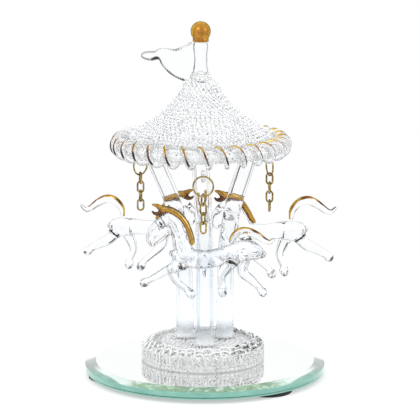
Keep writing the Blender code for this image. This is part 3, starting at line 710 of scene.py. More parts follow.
drum = {"middle": (-2.4, 0.0), "bottom": 6.5, "radius": 25.5, "rollRadius": 3.6, "wire": 0.7, "turns": 30,
        "squareness": 0.55, "coreReach": 2.8, "coreFoot": -3.89, "footReach": 3.45, "footTop": -2.6,
        "discHeight": 7.3, "discGap": 0.3, "discEdge": ((-0.2, 0.0), (0.0, 0.3)),
        "discShoulder": ((0.0, -0.9), (-0.5, -0.4)), "flat": 14.2,
        "loop": 0.9, "loopWire": 0.22, "spacing": 1.9,
        "discRows": (16.9, 14.9, 12.8, 10.6, 8.2, 5.6, 3.0), "discLift": 0.05,
        "topRows": (22.6, 20.7, 18.9), "topHeight": 7.1, "wallInset": 0.6,
        # height, share of a full loop and lift of each row up the wall
        "wallRows": ((0.98, 0.75, 0.25), (2.45, 1, 0.15), (3.95, 1, 0.15), (5.5, 1, 0.15)),
        "footGap": 0.35, "footLoop": 0.62, "footSpacing": 1.5,
        "edgeRows": ((24.0, 6.9), (21.6, 7.75)), "edgeSlope": (-0.72, 0.69), "edgeLoop": 1.4,
        # the last three place the painted shade marks on the edge loops
        "edgeWire": 0.4, "edgeSpacing": 3.6, "darkFrom": 10.5, "darkBand": 3.0, "darkShare": 0.06}


def squared(angle, squareness):
    # a point of a round (1) or squarer (less than 1) ring, as its two shares of the radius
    return [math.copysign(abs(value) ** squareness, value) for value in (math.cos(angle), math.sin(angle))]


def coilPoints(circle, reach, turns, perTurn, middle, squareness):
    # the same open coil as the solid's, with more points in each turn
    points = []
    opening = math.pi / turns
    count = turns * perTurn
    for i in range(count + 1):
        roundRing = math.pi / 2 + opening / 2 + (2 * math.pi - opening) * i / count
        out, up = squared(math.pi / 2 - 2 * math.pi * turns * i / count, squareness)
        radius = circle + reach * out
        points.append(Vector((middle[0] + radius * math.cos(roundRing),
                              middle[1] + radius * math.sin(roundRing), middle[2] + reach * up)))
    return points


# how much the loops of a row differ in size and place, and how far they stand out
lace = {"perLoop": 9, "leastLoops": 10, "swing": (0.66, 1.28), "sway": 0.35, "depth": 0.35}


def laceRow(radius, height, slope, loop, spacing, middle, lift, seed):
    # a closed row of little loops lying on a surface of revolution; slope is its upward line
    chance = random.Random(seed)
    count = max(lace["leastLoops"], round(2 * math.pi * radius / spacing))
    perLoop = lace["perLoop"]
    phase = chance.uniform(0, 2 * math.pi)
    swing = [chance.uniform(*lace["swing"]) for _ in range(count)]
    sway = [chance.uniform(-lace["sway"], lace["sway"]) for _ in range(count)]
    points = []
    for i in range(count * perLoop):
        bearing = 2 * math.pi * i / (count * perLoop) + phase / count
        turn = 2 * math.pi * i / perLoop + phase
        size = loop * swing[i // perLoop]
        out = Vector((math.cos(bearing), math.sin(bearing), 0))
        along = Vector((-math.sin(bearing), math.cos(bearing), 0))
        up = out * slope[0] + Vector((0, 0, slope[1]))
        away = out * slope[1] - Vector((0, 0, slope[0]))
        point = out * radius + Vector((0, 0, height)) + up * loop * sway[i // perLoop]
        point += up * size * math.cos(turn) + along * size * math.sin(turn)
        point += away * (lift + lace["depth"] * loop * math.sin(turn))
        points.append(point + Vector(middle))
    return points


def makeRoll(circle, centre):
    reach = drum["rollRadius"] - drum["wire"]
    roll = coilPoints(circle, reach, drum["turns"], 24, centre, drum["squareness"])
    bm = bmeshOfRods([evenRod(roll, drum["wire"])], 3)
    makePiece("drum_roll", bm, drumGround, "carousel", ["base_roll"])

    # the finer threads inside the roll close its gaps
    core = [(circle + drum["footReach"], drum["coreFoot"]), (circle + drum["footReach"], drum["footTop"])]
    for i in range(21):
        out, up = squared(math.pi * i / 20, drum["squareness"])
        core.append((circle + drum["coreReach"] * out, drum["coreReach"] * up))
    core += [(circle - drum["coreReach"], drum["coreFoot"]), core[0]]
    makePiece("drum_core", turnedBmesh(core, 96, centre), drumGround, "carousel", None)


def makeDrumLace(middle, top):
    # loops over the top, up the wall and round each pillar's foot
    loop, spacing = drum["loop"], drum["spacing"]
    rows = []
    for number, radius in enumerate(drum["discRows"]):
        rows.append(laceRow(radius, top, (-1, 0), loop, spacing, middle, drum["discLift"], number))
    for number, (height, share, lift) in enumerate(drum["wallRows"], 20):
        rows.append(laceRow(drum["radius"] - drum["wallInset"], height, (0, 1), loop * share, spacing,
                            middle, lift, number))
    for number, radius in enumerate(drum["topRows"], 30):
        rows.append(laceRow(radius, drum["topHeight"], (-1, 0), loop, spacing, middle, 0.0, number))
    for number in range(3):
        rows.append(laceRow(pillars["footRadius"] + drum["footGap"], 0, (0, 1), drum["footLoop"],
                            drum["footSpacing"], pillarPoint(number, 0), 0.0, 36 + number))
    strands = [evenLoop(row, drum["loopWire"]) for row in rows]
    makePiece("drum_lace", bmeshOfRods(strands, 1), drumThread, "carousel", None)


def makeDrumLoops(middle):
    # bigger clear loops over the wall's top edge, with painted shade marks at the right
    strands = []
    for number, (radius, height) in enumerate(drum["edgeRows"], 40):
        row = laceRow(radius, height, drum["edgeSlope"], drum["edgeLoop"], drum["edgeSpacing"], middle, 0.0,
                      number)
        strands.append(evenLoop(row, drum["edgeWire"]))
    loops = makePiece("drum_loops", bmeshOfRods(strands, 2), loopThread, "carousel", None)
    marks = []
    for vertex in loops.data.vertices:
        point = vertex.co / mm
        side = (point.x - drum["middle"][0] - drum["darkFrom"]) / drum["darkBand"]
        patch = (mathNoise.noise(point * 0.9) - drum["darkShare"]) / 0.1
        marks.append(clamped(side) * clamped(patch))
    markPoints(loops, "paintedDark", marks)


def makeDrum():
    circle = drum["radius"] - drum["rollRadius"]
    makeRoll(circle, (*drum["middle"], drum["bottom"] + drum["rollRadius"]))

    middle = (*drum["middle"], drum["bottom"])
    edge, top = circle - drum["rollRadius"] - drum["discGap"], drum["discHeight"]
    disc = [(0, 0), *((edge + out, up) for out, up in drum["discEdge"]),
            *((edge + out, top + up) for out, up in drum["discShoulder"]), (drum["flat"], top), (0, top)]
    makePiece("drum_disc", turnedBmesh(disc, 72, middle), drumGround, "carousel", ["base_disc"],
              40)
    makeDrumLace(middle, top)
    makeDrumLoops(middle)


makeDrum()
print("drum done")
makePillars()
print("pillars done")

# canopy

canopy = {"middle": (-3.2, 0.0), "rimHeight": 97.0, "rimCircle": 32.7, "rimRadius": 1.8,
          "trimRadius": 4.8, "trimWire": 0.95, "trimTurns": 28, "topRadius": 6.8, "tentHeight": 22.5,
          "edgeGap": 0.4, "wall": 1.1, "wallSlant": 0.55, "inset": (0.35, 0.25), "topHole": 0.4,
          "loop": 0.9, "loopWire": 0.2, "loopSpacing": 1.9, "rowStep": 1.6, "loopLift": -0.25,
          "rimLace": 2.15, "rimRows": range(0, 360, 60), "rimLoop": 0.8, "rimWire": 0.22, "rimSpacing": 2.0,
          "outline": ((0.00, 1.00), (0.07, 0.844), (0.166, 0.716), (0.37, 0.489), (0.63, 0.307),
                      (0.84, 0.171), (1.00, 0.00))}
# degrees round the rod of the trim: 90 is its top, 0 its outside and -90 its underside
gilt = {"from": 122, "to": -50, "half": 31, "wander": 14, "softEnd": 14, "softSide": 8,
        # where the painted shade turns the gold brown lower on the ring
        "brownFrom": 84, "brownBand": 100,
        "line": ((-50, 46), (20, 26), (62, -4), (92, -46), (122, -64))}


def tentLine():
    # the tent's outer line, from the top down, as radius and height
    edge = (canopy["trimRadius"] + canopy["edgeGap"]) * math.sqrt(0.5)
    edgeRadius = canopy["rimCircle"] - edge
    return [(canopy["topRadius"] + (edgeRadius - canopy["topRadius"]) * out,
             canopy["rimHeight"] + edge + canopy["tentHeight"] * up) for out, up in canopy["outline"]]


def gildTrim(piece, coil):
    # a line of gold that crosses over the rod as it comes down, turns brown as painted shade lower on the
    # ring, then stops
    middle = canopy["middle"]
    tree = treeOf(coil)
    golds, tones = [], []
    for vertex in piece.data.vertices:
        point = vertex.co / mm
        core = tree.find(point)[0]
        spoke = Vector((core.x - middle[0], core.y - middle[1], 0))
        angle = math.atan2(core.z - canopy["rimHeight"], spoke.length - canopy["rimCircle"])
        spoke.normalize()
        along = Vector((-spoke.y, spoke.x, 0))
        outward = spoke * math.cos(angle) + Vector((0, 0, math.sin(angle)))
        angle = math.degrees(angle)
        away = point - core
        turn = math.degrees(math.atan2(away.dot(along), away.dot(outward)))
        wander = gilt["wander"] * mathNoise.noise(point * 0.4)
        line = shareAlong(gilt["line"], max(angle, gilt["to"]))
        top = clamped((gilt["from"] + wander - angle) / gilt["softEnd"])
        bottom = clamped((angle - gilt["to"] + wander) / gilt["softEnd"])
        near = clamped((gilt["half"] + 0.6 * wander - abs(turn - line)) / gilt["softSide"])
        golds.append(top * bottom * near)
        tones.append(clamped((gilt["brownFrom"] + 2 * wander - angle) / gilt["brownBand"]))
    markPoints(piece, "gilding", golds)
    markPoints(piece, "shade", tones)


def tentRows(spread):
    # where each row of loops lies from the edge to the top, and its upward line
    rows, travelled = [], 0.0
    points = [Vector((point.x, point.z)) for point in reversed(spread)]
    for before, after in zip(points, points[1:]):
        step = (after - before).length
        while len(rows) * canopy["rowStep"] <= travelled + step:
            share = (len(rows) * canopy["rowStep"] - travelled) / step
            rows.append((before.lerp(after, share), (after - before).normalized()))
        travelled += step
    return rows


def makeTent(middle):
    spread = smoothLine([(radius, 0, height) for radius, height in tentLine()], 5)
    inset, drop = canopy["inset"]
    outer = [(point.x - inset, point.z - drop) for point in spread]
    inner = [(radius - canopy["wall"] * canopy["wallSlant"], height - canopy["wall"])
             for radius, height in outer]
    hole, (_, outerTop), (_, innerTop) = canopy["topHole"], outer[0], inner[0]
    shell = [(hole, outerTop), *outer, *reversed(inner), (hole, innerTop), (hole, outerTop)]
    makePiece("tent_shell", turnedBmesh(shell, 96, middle), tentShell, "carousel", ["canopy_shell"],
              50)
    strands = []
    for number, (spot, slope) in enumerate(tentRows(spread), 50):
        row = laceRow(spot.x, spot.y, slope, canopy["loop"], canopy["loopSpacing"], middle,
                      canopy["loopLift"], number)
        strands.append(evenLoop(row, canopy["loopWire"]))
    makePiece("tent_lace", bmeshOfRods(strands, 1), tentThread, "carousel", None)


def makeRim(middle):
    strands = []
    reach = canopy["rimLace"]
    for number, angle in enumerate(canopy["rimRows"], 90):
        out, up = math.cos(math.radians(angle)), math.sin(math.radians(angle))
        row = laceRow(canopy["rimCircle"] + reach * out, canopy["rimHeight"] + reach * up, (-up, out),
                      canopy["rimLoop"], canopy["rimSpacing"], middle, 0.0, number)
        strands.append(evenLoop(row, canopy["rimWire"]))
    makePiece("rim_lace", bmeshOfRods(strands, 1), tentThread, "carousel", None)

    centre = (*canopy["middle"], canopy["rimHeight"])
    ring = [(canopy["rimCircle"] + canopy["rimRadius"] * math.cos(math.radians(angle)),
             canopy["rimRadius"] * math.sin(math.radians(angle))) for angle in range(0, 361, 20)]
    makePiece("rim_ring", turnedBmesh(ring, 96, centre), tentShell, "carousel", ["canopy_rim"])

    reach = canopy["trimRadius"] - canopy["trimWire"]
    coil = coilPoints(canopy["rimCircle"], reach, canopy["trimTurns"], 30, centre, 1.0)
    bm = bmeshOfRods([evenRod(coil, canopy["trimWire"])], 10)
    trim = makePiece("rim_trim", bm, gildedGlass, "carousel", ["canopy_trim"])
    gildTrim(trim, coil)


makeTent((*canopy["middle"], 0))
makeRim((*canopy["middle"], 0))
print("canopy done")

# finial

finial = {"middle": (-3.2, 0.0), "collar": 123.5, "collarRadius": 4.3, "collarHeight": 2.9,
          "collarOutline": ((0, 0), (0.7, 0), (0.9, 0.12), (1, 0.36), (0.97, 0.62), (0.84, 0.84)),
          "collarRows": ((4.15, 0.75), (4.0, 1.75), (3.55, 2.7)), "collarLoop": 0.75, "collarLift": -0.1,
          "mast": 126.7, "mastRadius": 3.2, "mastHeight": 12.6,
          "mastOutline": ((0, 0), (0.9, 0), (1.0, 0.05), (0.98, 0.12), (0.90, 0.25), (0.86, 0.4),
                          (0.86, 0.55), (0.91, 0.7), (0.98, 0.82), (0.99, 0.9), (0.93, 0.97),
                          (0.82, 1.0), (0, 1.0)),
          "ballRadius": 4.18, "ballMiddle": 143.78, "dent": 0.03,
          "beadFoot": ((0.795, -0.72), (0.79, -0.82), (0.80, -0.93), (0.77, -0.99), (0, -0.99))}
pennant = {"long": 21.0, "tall": 15.6, "thick": 2.4, "rod": 0.75, "gap": 0.3, "joint": 2.5,
           "voxel": 0.22, "smoothing": 5, "edgeDark": 0.62, "lowerFrom": 0.62, "upperWide": 0.85,
           "upperDark": 0.7, "edgeWander": 0.8, "edgeSoft": 0.3, "sheetShare": 0.6,
           # shares of its length and height, along the top to the tip and back below
           "outline": ((0.00, 1.00), (0.12, 0.90), (0.31, 0.81), (0.51, 0.86), (0.64, 0.85), (0.74, 0.77),
                       (0.86, 0.76), (0.96, 0.73), (1.00, 0.66), (0.93, 0.59), (0.81, 0.56), (0.71, 0.60),
                       (0.64, 0.56), (0.57, 0.41), (0.45, 0.23), (0.31, 0.10), (0.14, 0.00))}


def makeCollar(middle):
    radius, height = finial["collarRadius"], finial["collarHeight"]
    foot = (*middle, finial["collar"])
    collar = [(radius * out, height * up) for out, up in finial["collarOutline"]]
    collar += [(finial["mastRadius"], height), (0, height)]
    makePiece("collar", turnedBmesh(collar, 64, foot), tentShell, "carousel", ["finial_collar"],
              50)
    strands = []
    for number, (out, up) in enumerate(finial["collarRows"], 120):
        row = laceRow(out, up, (0, 1), canopy["loop"] * finial["collarLoop"], canopy["loopSpacing"], foot,
                      finial["collarLift"], number)
        strands.append(evenLoop(row, canopy["loopWire"]))
    makePiece("collar_lace", bmeshOfRods(strands, 1), tentThread, "carousel", None)


def makeMast(middle):
    mast = [(finial["mastRadius"] * out, finial["mastHeight"] * up) for out, up in finial["mastOutline"]]
    makePiece("mast", turnedBmesh(mast, 48, (*middle, finial["mast"])), mastGlass, "carousel",
              ["finial_mast"], 60)


def makeBall(middle):
    # the bead sits on the mast as a melted cap, with a short collar of its own
    radius = finial["ballRadius"]
    bead = [(0, radius)]
    for angle in range(80, -41, -8):
        bead.append((radius * math.cos(math.radians(angle)), radius * math.sin(math.radians(angle))))
    bead += [(radius * out, radius * up) for out, up in finial["beadFoot"]]
    bm = turnedBmesh(bead, 56, (*middle, finial["ballMiddle"]))
    for vertex in bm.verts:
        dent = abs(mathNoise.noise(vertex.co / mm * 0.35)) * finial["dent"]
        vertex.co.x += (middle[0] * mm - vertex.co.x) * dent
        vertex.co.y += (middle[1] * mm - vertex.co.y) * dent
    makePiece("ball", bm, amberGold(), "carousel", ["finial_ball"], 50)


def makePennant(middle):
    # a pressed sheet of glass with a rod melted round its edge
    start = -(finial["mastRadius"] + pennant["gap"])
    outline = [Vector((start - pennant["long"] * out, 0, pennant["tall"] * up))
               for out, up in pennant["outline"]]
    lift = Vector((*middle, finial["collar"]))
    border = [point + lift for point in smoothLine(outline, 4)]
    # the rod lies inside the flag's outline, and the flag runs into the mast
    core = sum(border, Vector()) / len(border)
    thick, rod = pennant["sheetShare"] * pennant["thick"] * mm, pennant["rod"]
    rodLine = [point + (core - point).normalized() * rod for point in border]
    sheet = bmesh.new()
    joint = middle[0] - pennant["joint"]
    rim = [Vector((joint, 0, rodLine[-1].z)), Vector((joint, 0, rodLine[0].z)), *rodLine]
    corners = [sheet.verts.new((point.x * mm, -thick / 2, point.z * mm)) for point in rim]
    moved = bmesh.ops.extrude_face_region(sheet, geom=[sheet.faces.new(corners)])["geom"]
    bmesh.ops.translate(sheet, verts=[item for item in moved if isinstance(item, bmesh.types.BMVert)],
                        vec=(0, thick, 0))
    bmesh.ops.recalc_face_normals(sheet, faces=sheet.faces)
    joinBmesh(sheet, bmeshOfRods([evenRod(rodLine, rod)], 3))
    flag = makePiece("flag", fusedBmesh(sheet, pennant["voxel"], pennant["smoothing"]), pennantGlass,
                     "carousel", ["pennant"])

    # painted shade: its edge is painted dark along the lower curve and grey along the top
    marks = []
    for vertex in flag.data.vertices:
        point = vertex.co / mm
        point.y = 0
        reach, i = min(((point - spot).length, i) for i, spot in enumerate(border))
        wide = pennant["edgeDark"] * (1 + pennant["edgeWander"] * mathNoise.noise(point * 0.25))
        lower = i > len(border) * pennant["lowerFrom"]
        share, dark = (1, 1) if lower else (pennant["upperWide"], pennant["upperDark"])
        marks.append(clamped((wide * share - reach) / pennant["edgeSoft"]) * dark)
    markPoints(flag, "paintedDark", marks)


for makePart in (makeCollar, makeMast, makeBall, makePennant):
    makePart(finial["middle"])
print("finial done")

# chains: eyelet, ring and four links each

chains = {"rows": ({"spot": (-2.118, -30.981), "across": 0.0}, {"spot": (25.496, 15.258), "across": 109.0},
                   {"spot": (-28.486, 17.055), "across": 228.0}),
          "eyeletWire": 0.9, "eyeletWidth": 2.6, "eyeletRoom": 0.45, "ringRadius": 4.05, "ringWire": 0.35,
          "linkLength": 5.3, "linkWidth": 3.2, "linkWire": 0.3, "drawnWire": 0.38, "gap": 0.3,
          "firstTurn": 60, "eyeletSteps": 40, "ringSteps": 48, "linkSteps": 32}


def ovalPoints(length, width, count):
    radius = width / 2
    straight = length / 2 - radius
    points = []
    for half, centre in ((0, straight), (1, -straight)):
        for i in range(count // 2):
            angle = math.pi * half + math.pi * i / (count // 2 - 1)
            points.append(Vector((radius * math.cos(angle), 0, centre + radius * math.sin(angle))))
    return points


def hung(points, spot, height, turn):
    turned = Matrix.Rotation(math.radians(turn), 3, "Z")
    return [turned @ point + Vector((*spot, height)) for point in points]


def makeChains():
    top = canopy["rimHeight"] - canopy["trimRadius"] - chains["gap"] - chains["eyeletWire"]
    hole = 2 * chains["ringWire"] + chains["gap"] + chains["eyeletRoom"]
    bottom = top - 2 * chains["eyeletWire"] - hole
    for number, chain in enumerate(chains["rows"], 1):
        spot, across = chain["spot"], chain["across"]
        eyelet = hung(ovalPoints(top - bottom, chains["eyeletWidth"], chains["eyeletSteps"]), spot,
                      (top + bottom) / 2, across + 90)
        bm = bmeshOfRods([evenLoop(eyelet, chains["eyeletWire"])], 4)
        makePiece(f"eyelet_rod_{number}", bm, finialGlass, "carousel", [f"eyelet_{number}"])

        ringTop = bottom + chains["eyeletWire"] + chains["gap"] + chains["ringWire"]
        steps = chains["ringSteps"]
        ring = [Vector((chains["ringRadius"] * math.cos(2 * math.pi * i / steps), 0,
                        chains["ringRadius"] * math.sin(2 * math.pi * i / steps))) for i in range(steps)]
        ring = hung(ring, spot, ringTop - chains["ringRadius"], across)
        name = f"chain_{number}_ring"
        bm = bmeshOfRods([evenLoop(ring, chains["ringWire"])], 3)
        makePiece(f"{name}_wire", bm, chainGold, name, [name])

        span, width = (chains[size] - 2 * chains["linkWire"] for size in ("linkLength", "linkWidth"))
        holder, holderWire = ringTop - 2 * chains["ringRadius"], chains["ringWire"]
        turn = across
        for link in range(1, 5):
            linkTop = holder + holderWire + chains["gap"] + chains["linkWire"]
            turn += chains["firstTurn"] if link == 1 else 90 if link % 2 else -90
            oval = hung(ovalPoints(span, width, chains["linkSteps"]), spot, linkTop - span / 2, turn)
            name = f"chain_{number}_link_{link}"
            bm = bmeshOfRods([evenLoop(oval, chains["drawnWire"])], 3)
            makePiece(f"{name}_wire", bm, chainGold, name, [name])
            holder, holderWire = linkTop - span, chains["linkWire"]


makeChains()
print("chains done")

# horses: forward, up and radius along each limb

frontHorse = {
    "spine": ((-21.8, 2.2, 1.6), (-19.5, 2.9, 3.3), (-15.0, 4.0, 4.4), (-8.0, 2.2, 3.9),
              (1.0, 0.2, 3.8), (9.0, 0.8, 4.1), (13.5, 2.2, 3.2), (15.3, 2.6, 1.4)),
    "neck": ((9.0, 1.5, 3.6), (11.5, 6.0, 3.5), (12.8, 11.0, 2.9), (15.0, 15.6, 2.5), (17.2, 17.8, 2.0)),
    "head": ((15.8, 17.2, 2.0), (19.2, 14.9, 2.9), (22.3, 11.8, 2.9), (23.7, 8.8, 2.3), (23.2, 7.0, 1.8)),
    "foreStretched": ((9.8, -1.3, 2.6), (16.3, -3.5, 2.0), (21.2, -6.3, 1.6), (24.4, -8.1, 1.4),
                      (26.0, -9.0, 1.8)),
    "foreSwept": ((12.9, -0.8, 2.5), (15.3, -5.4, 1.9), (13.4, -9.6, 1.6), (9.8, -12.5, 1.4),
                  (7.3, -14.6, 1.8)),
    "hindStretched": ((-14.5, 2.0, 3.2), (-13.4, -5.0, 2.4), (-17.1, -8.8, 1.9), (-20.0, -11.7, 1.5),
                      (-22.0, -13.8, 1.9)),
    "hindDown": ((-10.5, 1.5, 3.2), (-6.5, -3.8, 2.3), (-4.9, -7.1, 1.8), (-5.3, -10.4, 1.5),
                 (-5.7, -12.9, 1.9)),
    "mane": ((18.6, 21.2, 1.2), (16.2, 20.7, 1.5), (13.2, 19.2, 1.5), (10.6, 16.6, 1.35),
             (8.5, 12.8, 1.3), (7.4, 9.2, 1.35), (7.1, 7.2, 1.2)),
    "forelock": ((17.6, 20.4, 1.1), (19.4, 21.2, 1.4), (21.2, 22.4, 0.9), (23.0, 22.9, 0.45)),
    "forelockTine": ((18.6, 20.2, 1.1), (20.4, 19.2, 1.0), (22.2, 19.2, 0.7), (23.2, 20.0, 0.4)),
    "tail": ((-8.8, 7.3, 1.0), (-9.9, 9.8, 1.4), (-12.4, 11.8, 1.6), (-15.6, 11.9, 1.7),
             (-19.2, 10.3, 1.6), (-22.2, 8.2, 1.3), (-24.6, 7.2, 1.0), (-26.4, 8.6, 0.6)),
}
sideHorse = {
    "spine": ((-17.0, -0.3, 1.5), (-15.5, -0.4, 3.2), (-12.0, -0.6, 4.2), (-6.0, 0.1, 3.5),
              (1.0, 0.0, 3.2), (8.0, 0.8, 3.5), (12.2, 1.6, 2.9), (13.9, 1.8, 1.3)),
    "neck": ((8.6, 1.5, 3.1), (11.0, 5.0, 2.9), (12.6, 8.8, 2.5), (14.8, 12.0, 2.2), (16.8, 13.4, 1.8)),
    "head": ((15.4, 13.2, 1.8), (18.2, 11.3, 2.5), (20.7, 8.6, 2.5), (21.9, 6.0, 2.0), (21.4, 4.4, 1.6)),
    "foreStretched": ((10.0, -0.5, 2.3), (15.5, -4.0, 1.9), (19.5, -8.0, 1.6), (22.8, -12.0, 1.4),
                      (24.8, -14.4, 1.8)),
    "foreSwept": ((9.5, -1.0, 2.2), (8.5, -6.5, 1.9), (4.5, -10.5, 1.6), (0.5, -14.0, 1.4),
                  (-2.0, -16.8, 1.8)),
    "hindStretched": ((-13.0, -2.0, 2.9), (-16.5, -6.0, 2.4), (-20.5, -8.0, 2.1), (-24.5, -10.4, 1.7),
                      (-27.0, -12.0, 2.0)),
    "hindDown": ((-10.5, -2.0, 2.9), (-8.0, -6.5, 2.2), (-6.8, -10.5, 1.7), (-8.4, -14.5, 1.5),
                 (-9.2, -17.2, 1.9)),
    "mane": ((18.0, 16.6, 1.1), (15.4, 16.1, 1.3), (12.6, 14.7, 1.35), (10.1, 12.0, 1.35),
             (8.0, 8.9, 1.3), (6.7, 6.5, 1.25), (5.7, 5.0, 1.1)),
    "forelock": ((17.0, 15.8, 1.1), (18.8, 16.6, 1.4), (20.4, 17.7, 0.9), (21.9, 18.2, 0.45)),
    "forelockTine": ((18.0, 15.6, 1.1), (19.6, 14.6, 1.0), (21.2, 14.6, 0.7), (22.2, 15.4, 0.4)),
    "tail": ((-10.9, 4.7, 1.0), (-11.6, 8.0, 1.5), (-14.4, 10.8, 1.8), (-18.3, 11.5, 1.9),
             (-22.4, 9.6, 1.7), (-26.2, 6.8, 1.3), (-28.6, 6.0, 1.0), (-30.8, 7.6, 0.6)),
}
horses = ({"shape": frontHorse, "middle": (0.369, -18.272, 52.5), "heading": 180, "size": 1.0, "side": 1},
          {"shape": sideHorse, "middle": (24.206, 19.328, 56.3), "heading": 202, "size": 1.05, "side": -1},
          {"shape": sideHorse, "middle": (-26.362, 18.253, 58.3), "heading": -22, "size": 0.97, "side": 1,
           "tipUnder": True})
horseBuild = {"legSpread": 1.9, "voxel": 0.36, "smoothing": 7, "goldVoxel": 0.2, "goldSmoothing": 3,
              "ankle": (0.96, 0.88), "pastern": 1.3, "hoof": 2.0, "hoofHalf": 0.35,
              "hoofStep": (0.35, 0, -0.1), "thighAt": 0.4, "thighFrom": -1.2, "thighTo": 1.6,
              "thighOut": 0.15, "thighShares": (0.72, 0.98, 0.7),
              "chest": (((-2.5, 0, 1.5), 2.6), ((-0.6, 0, -0.6), 2.9), ((-1.6, 0, -2.4), 2.0))}
# forward, out to the side and up from a spot of the head, and the radii of the rod that starts there
headBuild = {"ear": (0.4, 1.0, 0.6), "earTip": (0.5, 0.7, 2.4), "earRadii": (0.75, 0.62, 0.22),
             "cheek": (-1.7, 0.7, -2.9), "jaw": (-1.2, 0.4, -0.2), "cheekRadii": (1.5, 2.3, 2.1, 1.6, 0.9),
             "faceRadii": (2.3, 2.75, 2.35, 1.6),
             "nostril": (1.2, 1.0, 0.5), "nostrilRadii": (0.35, 0.55, 0.35),
             "chin": (-1.0, 0, -0.2), "chinRadii": (0.6, 0.8, 0.5),
             "jawBack": 1.2, "nostrilBack": 0.3, "chinBack": 0.4, "eyeDown": 0.4,
             "eye": (0.3, 2.5, -0.3), "eyeRadius": 0.42}
# where the painted shade marks at the hooves and round the eyes go
darkMarks = {"hoofStep": 0.6, "hoofReach": 2.2, "hoofShare": 0.19, "eyeRing": (0.9, 1.45), "eyeShare": 0.05,
             "soft": 0.05}
goldLines = {"maneStrands": ((-0.62, 0.78), (0.0, 0.95), (0.62, 0.78)), "foreheadFrom": 1.2,
             "tailStrands": ((-0.42, 0.56), (0.0, 0.66), (0.42, 0.56)), "tailFrom": 0.55, "tailSoft": 0.12,
             "underFrom": 0.74}


def limbStrand(shape, side, steps=5, rounded=True):
    line = smoothLine(shape, steps)
    points = [Vector((forward, side, up)) for forward, up, _ in line]
    radii = [radius for _, _, radius in line]
    if rounded:
        points, radii = roundEnds(points, radii)
    return points, radii, False


def sidesOfPath(bm, path):
    # for each vertex: how far it lies to the path's upper side, and its share of the way along
    tree = treeOf(path)
    sides = []
    for vertex in bm.verts:
        point = vertex.co / mm
        _, i, _ = tree.find(point)
        along = (path[min(i + 1, len(path) - 1)] - path[max(i - 1, 0)]).normalized()
        away = point - path[i]
        away = (away - along * away.dot(along)).normalized()
        upper = Vector((-along.z, 0, along.x)) * (-1 if path[-1].x < path[0].x else 1)
        sides.append((away.dot(upper), i / (len(path) - 1)))
    return sides


def legStrands(shape, side):
    # four legs with pasterns, hooves and thighs, and the spots just beyond the hooves where painted shade
    # marks go
    spread = horseBuild["legSpread"] * side
    strands, creases = [], []
    for part, offset in (("foreStretched", spread), ("foreSwept", -spread), ("hindStretched", -spread),
                         ("hindDown", spread)):
        points, radii, _ = limbStrand(shape[part], offset, 5, False)
        along = (points[-1] - points[-2]).normalized()
        # a narrow pastern above a rounded hoof
        radii[-4] *= horseBuild["ankle"][0]
        radii[-3] *= horseBuild["ankle"][1]
        radii[-2] = radii[-1] = horseBuild["pastern"]
        hoof, half = points[-1] + Vector(horseBuild["hoofStep"]), along * horseBuild["hoofHalf"]
        # the thigh or forearm swells towards the barrel
        root = points[0].lerp(points[4], horseBuild["thighAt"])
        thigh = [root + Vector((0, offset * horseBuild["thighOut"], horseBuild["thighFrom"])), root,
                 root + Vector((0, 0, horseBuild["thighTo"]))]
        strands += [(points, radii, False),
                    evenRod([hoof - half, hoof + half], horseBuild["hoof"]),
                    (thigh, [radii[0] * share for share in horseBuild["thighShares"]], False)]
        creases.append(points[-1] + along * darkMarks["hoofStep"])
    return strands, creases


def headSpot(start, feature, ear):
    # ear is -1 or 1: which side of the head
    forward, side, up = headBuild[feature]
    return start + Vector((forward, ear * side, up))


def headStrands(shape):
    # ears, cheeks, face, nostrils and chin, and where the two eyes are
    poll, brow, nose = (Vector((forward, 0, up)) for forward, up, _ in
                        (shape["head"][0], shape["head"][1], shape["head"][-1]))
    down = (nose - brow).normalized()
    strands = []
    for ear in (-1, 1):
        base = headSpot(poll, "ear", ear)
        tip = headSpot(base, "earTip", ear)
        cheek = headSpot(brow, "cheek", ear)
        jaw = headSpot(nose - down * headBuild["jawBack"], "jaw", ear)
        upper, lower = brow.lerp(cheek, 0.5), (nose - down * 0.6).lerp(jaw, 0.5)
        nostril = headSpot(nose - down * headBuild["nostrilBack"], "nostril", ear)
        strands += [([base, base.lerp(tip, 0.45), tip], headBuild["earRadii"], False),
                    ([cheek - down * 0.7, cheek, cheek.lerp(jaw, 0.5), jaw, jaw + down * 0.8],
                     headBuild["cheekRadii"], False),
                    ([upper - down * 0.6, upper, upper.lerp(lower, 0.5), lower],
                     headBuild["faceRadii"], False),
                    ([nostril - down * 0.5, nostril, nostril + down * 0.4],
                     headBuild["nostrilRadii"], False)]
    chin = headSpot(nose - down * headBuild["chinBack"], "chin", 1)
    strands.append(([chin - down * 1.2, chin, chin + down * 0.4], headBuild["chinRadii"], False))
    return strands, [headSpot(brow + down * headBuild["eyeDown"], "eye", ear) for ear in (-1, 1)]


def darkShares(bm, number, creases, eyes):
    # painted shade: short dark marks at the hooves and round the eyes
    inner, outer = darkMarks["eyeRing"]
    shares = []
    for vertex in bm.verts:
        point = vertex.co / mm
        nearHoof = min((point - crease).length for crease in creases) < darkMarks["hoofReach"]
        nearEye = inner < min((point - eye).length for eye in eyes) < outer
        patch = mathNoise.noise(point * 0.7 + Vector((7 * number, 0, 0)))
        least = darkMarks["hoofShare"] if nearHoof else darkMarks["eyeShare"]
        shares.append(clamped((patch - least) / darkMarks["soft"]) if nearHoof or nearEye else 0)
    return shares


